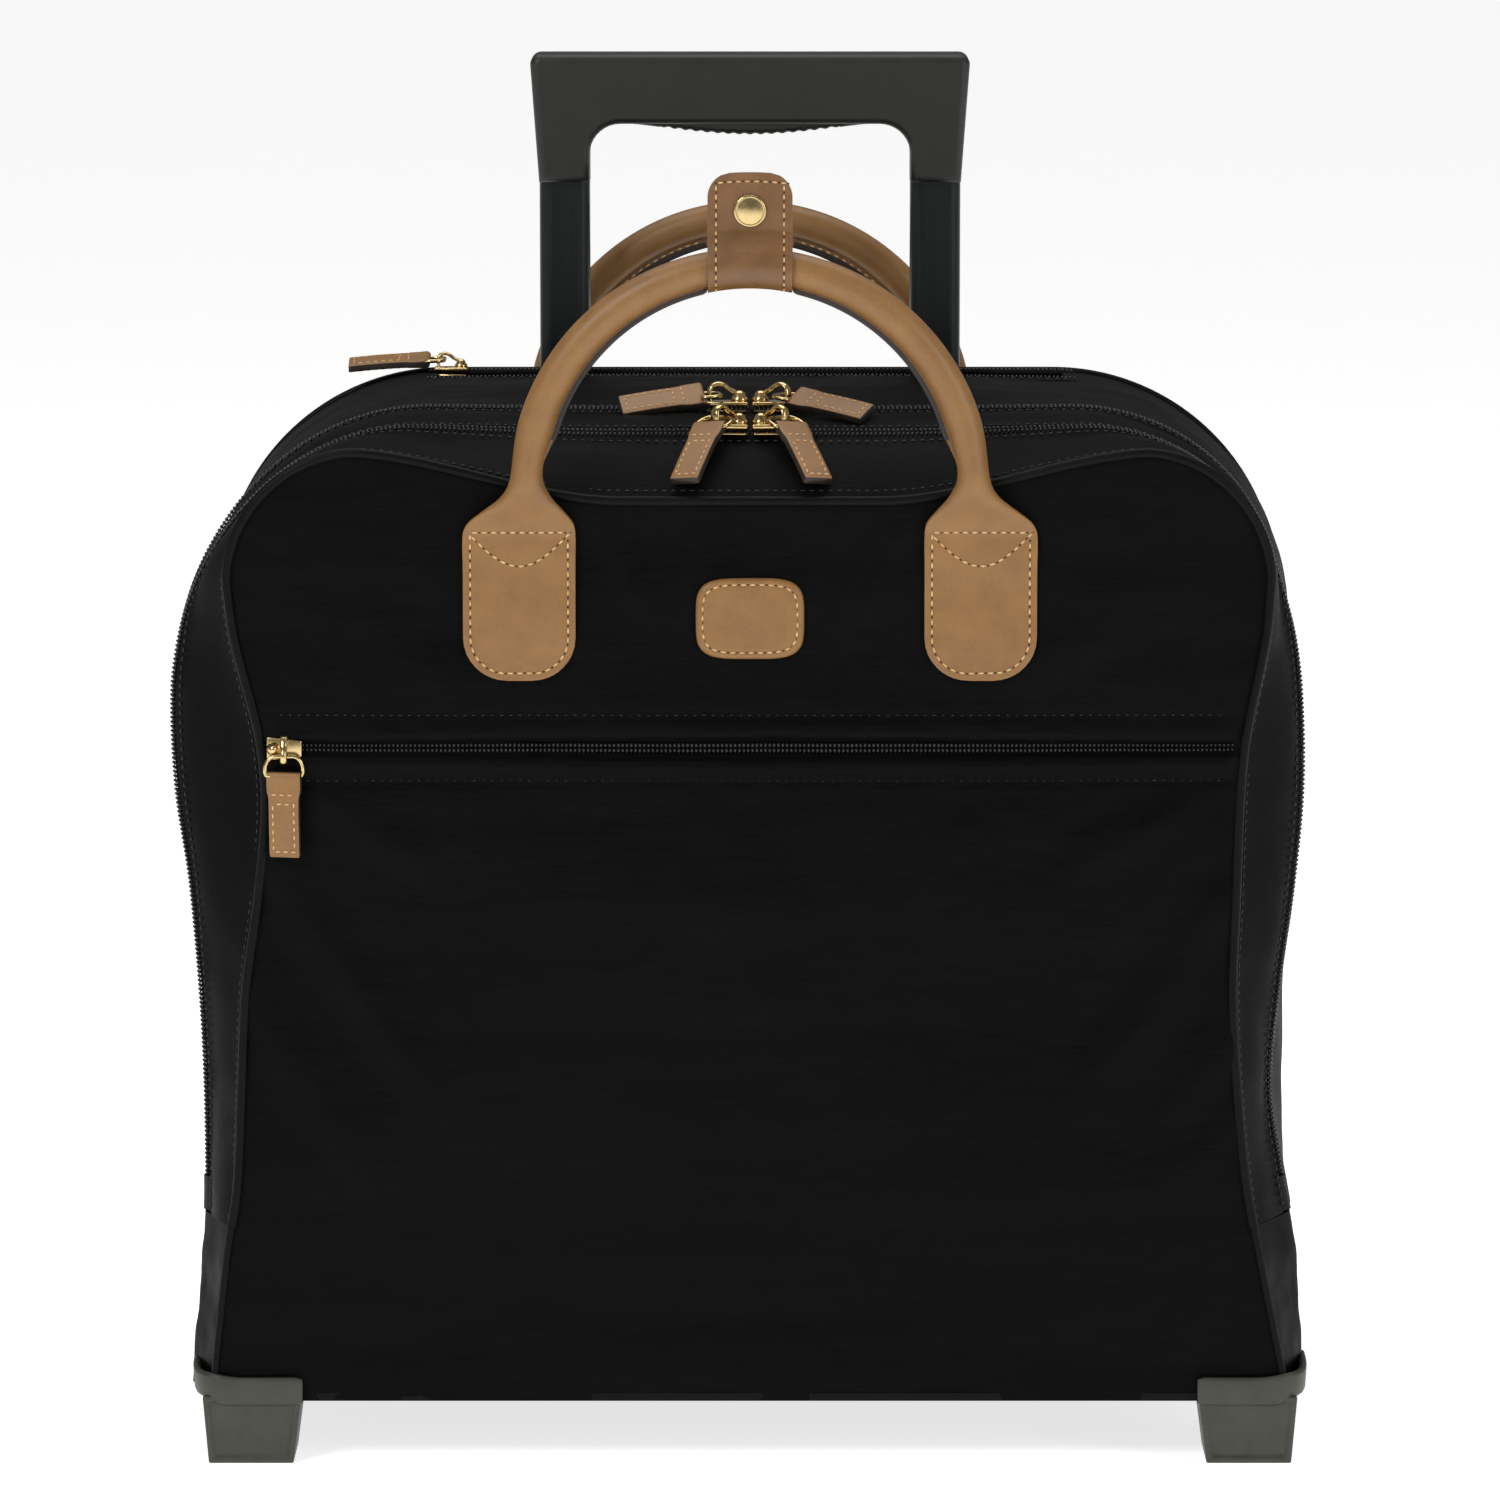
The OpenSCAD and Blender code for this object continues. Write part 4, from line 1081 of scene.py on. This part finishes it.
def slider_and_pull(name, body_slider, body_pull, at, yaw, pitch, on_front, cant, drop, roll):
    """A cast slider with its bridge, and the leather pull on its wire ring."""
    base = Matrix.Translation(Vector(at) * MM)
    big = 1.0 if on_front or name == "rear_zip" else 1.26
    if on_front:
        base = base @ Matrix.Rotation(math.radians(90), 4, "X")
    turn = base @ Matrix.Rotation(math.radians(yaw), 4, "Z")
    hinge = Matrix.Translation(Vector((HINGE_OUT, 0, HINGE_UP)) * MM)
    hang = turn @ hinge @ Matrix.Rotation(math.radians(pitch), 4, "Y")

    bm = bmesh.new()
    sign = -1 if at[0] < 0 and not on_front else 1

    def shield(p):
        slim = 0.68 if p.x * sign > 0 else 1.0
        return (p.x * big, p.y * slim * (1 + (big - 1) * 0.5), p.z * (big if p.z > 0 else 1))

    block(bm, (-6.5, -4.5, 0.3), (6.5, 4.5, 1.7), shield, 0.6, 3, matrix=base)
    block(bm, (-6.0, -4.3, -1.9), (6.0, 4.3, -0.9), shield, 0.4, 2, matrix=base)
    knob = ((0, 4.9), (0.9, 4.7), (1.7, 4.0), (1.9, 3.2), (2.5, 2.6), (2.6, 1.4), (0, 1.3))
    knob_foot = base @ Vector((-sign * 4.0 * big * MM, 0, 0)) / MM
    turned(bm, [(r * big, h * big) for r, h in knob], knob_foot, base.to_3x3() @ Vector((0, 0, 1)), 20)
    slider = new_piece(name + "_cast", bm, [brass])
    settle(slider, body_slider, [name_node(name, "slider")])

    # Bridge: a cast arch over the ring's bar
    arch = [(-4.6, 1.2), (-4.5, 2.6), (-3.2, 4.0), (-1.0, 5.2), (0.6, 6.4)]
    arch += [(2.4, 6.9), (4.1, 6.3), (4.9, 4.8), (4.9, 2.8), (4.6, 1.2)]

    def bridge_spot(u, v):
        (x, z), way = along(arch, v * 9)
        a = math.tau * u
        wide = 1.45 + 0.35 * math.cos(math.tau * v)
        p = Vector((x, 0, z)) + Vector((way.y, 0, -way.x)) * 0.7 * math.sin(a)
        p += Vector((0, 1, 0)) * wide * math.cos(a)
        return (turn @ (p * big * MM)) / MM

    bridge = woven(name + "_bridge", 12, 40, bridge_spot, [brass], (10, 20), shut=True)
    settle(bridge, body_slider)

    half_ring = [(0, 3.6), (0.5, 5.0), (1.8, 6.2), (3.6, 6.9), (5.8, 7.0), (7.0, 6.6), (RING_L, 5.6)]
    ring = [(0, -3.6)] + half_ring + [(x, -y) for x, y in half_ring[:0:-1]]
    knots = [(hang @ Vector((x * MM, y * MM, 0))) / MM for x, y in ring]
    loop = wire(name + "_ring", knots, 0.75, [brass], closed=True)
    settle(loop, body_pull, [name_node(name, "pull")])

    # Leather folded over the ring, two layers sewn together. It lies canted, dropped and rolled
    # on its ring
    bar = Matrix.Translation(Vector((RING_L, 0, 0)) * MM)
    for angle, axis in ((cant, "Z"), (drop, "Y"), (roll, "X")):
        bar = bar @ Matrix.Rotation(math.radians(angle), 4, axis)
    hang = hang @ bar @ Matrix.Translation(Vector((-RING_L, 0, 0)) * MM)
    long0, long1 = RING_L - 1.6, RING_L + 30.5
    rows = [0, 0, 0.25, 0.8, 1.6, 2.6, 4, 6, 8, 9, 10.5]
    rows += [12 + 1.6 * i for i in range(12)] + [31, 31.7, 32.0, 32.0]

    def droop(d):
        return -0.0016 * max(0, d - 6) ** 2

    def leather_spot(u, v):
        i = round(v * (len(rows) - 1))
        d = rows[i]
        x = long0 + d
        thick = PULL_THICK * min(1, math.sqrt(max(0.0, 1 - (1 - min(d, 1.6) / 1.6) ** 2)) + 0.02)
        thick *= 1 + 0.18 * math.exp(-(((d - 1.6) / 2.0) ** 2))
        wide = PULL_HALF + 0.5 - 0.75 * ease((d - 7) / 3)
        if d > 31:
            wide -= 0.25 * (d - 31)
        if i in (0, len(rows) - 1):
            wide, thick = wide * 0.05, 0.02
        c, s = squarish(math.tau * u, 0.22)
        return (hang @ (Vector((x, wide * c, thick * s + droop(d))) * MM)) / MM

    down = hang.to_3x3() @ Vector((0, 0, 1))
    leather = woven(
        name + "_leather",
        36,
        len(rows) - 1,
        leather_spot,
        [hide, edge_paint],
        (30, 33),
        shut=True,
        edge_test=lambda p, n: abs(n.dot(down)) < 0.45,
    )
    settle(leather, body_pull, [name_node(name, "pull")])
    lines = []
    for up in (1, -1):
        out = down * up

        def spot(x, y):
            return (hang @ (Vector((x, y, up * PULL_THICK + droop(x - long0))) * MM)) / MM

        x0, x1, y1 = long0 + 12, long1 - 2.2, PULL_HALF - 2.0
        box = [spot(x0, -y1)] + [spot(x0 + (x1 - x0) * i / 8, -y1) for i in range(1, 9)]
        box += [spot(x1, y1 * (i / 2 - 1)) for i in range(1, 5)]
        box += [spot(x1 - (x1 - x0) * i / 8, y1) for i in range(1, 9)] + [spot(x0, -y1)]
        lines.append((box, out))
        lines.append(([spot(long0 + 8.5, -PULL_HALF + 1), spot(long0 + 8.5, PULL_HALF - 1)], out))
    stitches(name + "_stitching", lines, body_pull, gold_thread, 3.0, 2.1, 0.38)


def name_node(name, part):
    """The frame's name for a zip's slider or pull."""
    base, _, hand = name.partition("__")
    return f"{base}_{part}" + (f"_{hand}" if hand else "")


# Each slider's place, its turn and its ring's pitch, whether it is on the front, and how far its
# leather is canted, dropped and rolled
PULLS = [
    ("front_zip__left", (-9, ZIP1, 386.5), -130, 21, False, 15, 14, 0),
    ("front_zip__right", (9, ZIP1, 386.5), -48, 21, False, -15, 14, 0),
    ("main_zip__left", (-9, ZIP2, 391.5), 188, 3, False, 0, 3, -30),
    ("main_zip__right", (9, ZIP2, 391.5), -32, 7, False, 4, 0, 22),
    ("rear_zip", (-117.4, 94, 391.5), 180, 1, False, 0, 1, -12),
    ("pocket_zip", (-172, -101.5, POCKET_Z), -90, 0, True, 0, 0, 12),
]
for name, at, yaw, pitch, *lie in PULLS:
    slider_and_pull(name, name_node(name, "slider"), name_node(name, "pull"), at, yaw, pitch, *lie)

# ---------- trolley ----------

TUBE_Y = 78.5
GRIP_FOOT, GRIP_TOP, BAR_Z = 467.6, 517.1, 490.1
GRIP_OUT, GRIP_TOP_OUT, GRIP_IN, GRIP_HALF_D = 81.8, 85.4, 62.2, 12.0


def corner(x, z, radius, steps):
    """A quarter circle round a middle, from its side to its top."""
    angles = [math.pi / 2 * i / steps for i in range(steps + 1)]
    return [(x + radius * math.cos(a), z + radius * math.sin(a)) for a in angles]


half_grip = [(GRIP_OUT, GRIP_FOOT)] + corner(GRIP_TOP_OUT - 4.3, GRIP_TOP - 4, 4, 7)
opening = [(GRIP_IN, GRIP_FOOT)] + corner(GRIP_IN - 12, BAR_Z - 12, 12, 9)
outline = half_grip + [(-x, z) for x, z in reversed(half_grip)]
outline += [(-x, z) for x, z in opening] + list(reversed(opening))
bm = bmesh.new()
ring = [bm.verts.new(Vector((x, TUBE_Y - GRIP_HALF_D, z)) * MM) for x, z in outline]
face = bm.faces.new(ring)
grown = bmesh.ops.extrude_face_region(bm, geom=[face])["geom"]
far_side = [g for g in grown if isinstance(g, bmesh.types.BMVert)]
bmesh.ops.translate(bm, verts=far_side, vec=Vector((0, 2 * GRIP_HALF_D, 0)) * MM)
bmesh.ops.recalc_face_normals(bm, faces=bm.faces)
flat = [f for f in bm.faces if abs(f.normal.y) > 0.99]
round_edges(bm, list({e for f in flat for e in f.edges}), 3.2, 5)
grip = new_piece("pull_grip", bm, [grip_plastic])
grip.modifiers.new("even_shading", "WEIGHTED_NORMAL")
settle(grip, "trolley_grip", ["grip_body"])

# Finger trigger: a ribbed belly under the bar
TRIGGER_HALF = 56.0


def trigger_spot(u, v):
    x = TRIGGER_HALF * (2 * v - 1)
    belly = 4.2 * math.cos(math.pi / 2 * min(abs(x) / 46, 1)) ** 1.2
    ribs = 0.55 * (0.5 - 0.5 * math.cos(math.tau * x / 4.2)) if abs(x) < 35 else 0.0
    c, s = squarish(math.tau * u, 0.45)
    low, high = BAR_Z - 0.4 - belly + ribs, BAR_Z + 6
    half = 6.2
    if v in (0.0, 1.0):
        half, low, high = 0.05, BAR_Z + 2.9, BAR_Z + 3.1
    return Vector((x, TUBE_Y + half * c, (low + high) / 2 + (high - low) / 2 * s))


trigger = woven("finger_trigger", 20, 240, trigger_spot, [grip_plastic], (30, 112), shut=True)
settle(trigger, "trolley_trigger", ["grip_trigger"])

dress(["top_tubes", "mid_tubes", "outer_tubes"], anodised)
dress(["mid_tube_collars", "top_tube_shoes", "tube_top_housing", "tube_foot_bracket"], grip_plastic)
dress(["push_rods", "trigger_springs", "bracket_rivets", "base_screws"], steel)
dress(["wheel_axles", "wheel_bearings_left", "wheel_bearings_right"], steel)
dress(["tube_board", "base_board"], board)
dress(["bottom_panel"], binding)

# ---------- feet ----------

for side, hand in SIDES:
    bm = bmesh.new()

    # Corner wall: round the front corner of the case, with a rounded outer end
    plan = [(167.5, -103.0), (190, -103.2), (201, -102.4), (207.5, -95), (209.6, -80), (210, -62)]

    def wall_spot(u, v):
        (x, y), way = along(plan, v * 5)
        inward = Vector((-way.y, way.x, 0))
        top = 33.5 + 1.6 * ease((x - 190) / 14)
        low = 22.5 + 2.5 * ease((x - 196) / 12)
        # Section: lip and outer face, rounded foot, plate under the case, inner face
        section = [(0.6, top), (-0.1, top - 0.4), (-0.3, top - 1.4), (0.0, 29), (0.1, low + 2)]
        section += [(0.6, low + 0.8), (1.8, low), (6, low - 0.2), (6, low + 1.8), (3.2, low + 3)]
        section += [(2.8, 30), (2.4, top - 0.4), (1.4, top)]
        d, z = section[round(u * 13) % 13]
        p = Vector((x, y, z)) + inward * d
        if v in (0.0, 1.0):
            p = p.lerp(Vector((x, y, 28)) + inward * 2, 0.14)
        return Vector((side * p.x, p.y, p.z))

    wall = woven(f"foot_wall_{hand}", 13, 50, wall_spot, [foot_plastic], (60, 70), shut=True)
    settle(wall, "case_body", ["front_feet"])

    # Block that stands on the floor: tapered, its front face drawn in inside a rim
    def taper(p):
        down = (26 - p.z) / 26
        x = p.x + (3.2 * down if p.x < 185 else -2.0 * down)
        y = p.y + (2.0 * down if p.y < -90 else -6.0 * down)
        return (side * x, y, p.z)

    block(bm, (168, -102.2, 0), (205, -64, 26), taper)
    bmesh.ops.recalc_face_normals(bm, faces=bm.faces)
    front_face = min(bm.faces, key=lambda f: f.calc_center_median().y)
    bmesh.ops.inset_region(bm, faces=[front_face], thickness=2.6 * MM, depth=0)
    bmesh.ops.inset_region(bm, faces=[front_face], thickness=1.2 * MM, depth=-1.1 * MM)
    hard = [e for e in bm.edges if e.calc_face_angle(0) > math.radians(20)]
    round_edges(bm, hard, 0.9, 3)
    foot = new_piece(f"foot_block_{hand}", bm, [foot_plastic])
    settle(foot, "case_body", ["front_feet"])

# ---------- wheels ----------

WHEEL_X, WHEEL_Y, WHEEL_R, WHEEL_HALF = 186.0, 90.4, 27.0, 10.0


# The housings: a merged copy of the CAD node with its edges rounded
bm = bmesh.new()
bm.from_mesh(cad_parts["wheel_housings"].data)
bmesh.ops.remove_doubles(bm, verts=bm.verts, dist=0.002 * MM)
bmesh.ops.dissolve_limit(bm, angle_limit=math.radians(1), verts=bm.verts, edges=bm.edges)
bmesh.ops.recalc_face_normals(bm, faces=bm.faces)
housings = soften(new_piece("wheel_arches", bm, [foot_plastic]), 0.8, angle=40)
settle(housings, "case_body", ["wheel_housings"])

for side, hand in SIDES:
    hub = (side * WHEEL_X, WHEEL_Y, WHEEL_R)
    bm = bmesh.new()
    h, r = WHEEL_HALF, WHEEL_R
    tyre = [(20, -h), (23.5, -h), (25.4, -h + 0.8), (26.6, -h + 2.4), (r, -h + 4.6)]
    tyre += [(r, -2.4), (26.3, -2.0), (26.3, -1.2), (r, -0.8)]
    tyre += [(a, -b) for a, b in reversed(tyre)] + [(20, -h)]
    turned(bm, tyre, hub, (1, 0, 0), 72)
    wheel = "wheel_" + hand
    settle(new_piece("tyre_" + hand, bm, [tyre_rubber]), wheel, ["wheel_tyre_" + hand])
    bm = bmesh.new()
    rim_ring = [(20, -9), (20, 9), (18.6, 9.2), (17.4, 8.4), (17, 2), (17, -2), (17.4, -8.4), (18.6, -9.2), (20, -9)]
    turned(bm, rim_ring, hub, (1, 0, 0), 60)
    boss = [(8.05, -9.6), (9.6, -9.8), (11.4, -9), (12, -7), (12, 7), (11.4, 9), (9.6, 9.8), (8.05, 9.6), (8.05, -9.6)]
    turned(bm, boss, hub, (1, 0, 0), 48)
    for i in range(6):
        spoke = Matrix.Translation(Vector(hub) * MM) @ Matrix.Rotation(math.tau * i / 6, 4, "X")
        block(bm, (-5.5, -2.6, 11.4), (5.5, 2.6, 17.6), bevel=0.8, matrix=spoke)
    spoked = new_piece("spoked_hub_" + hand, bm, [grip_plastic])
    settle(spoked, wheel, ["wheel_hub_" + hand])
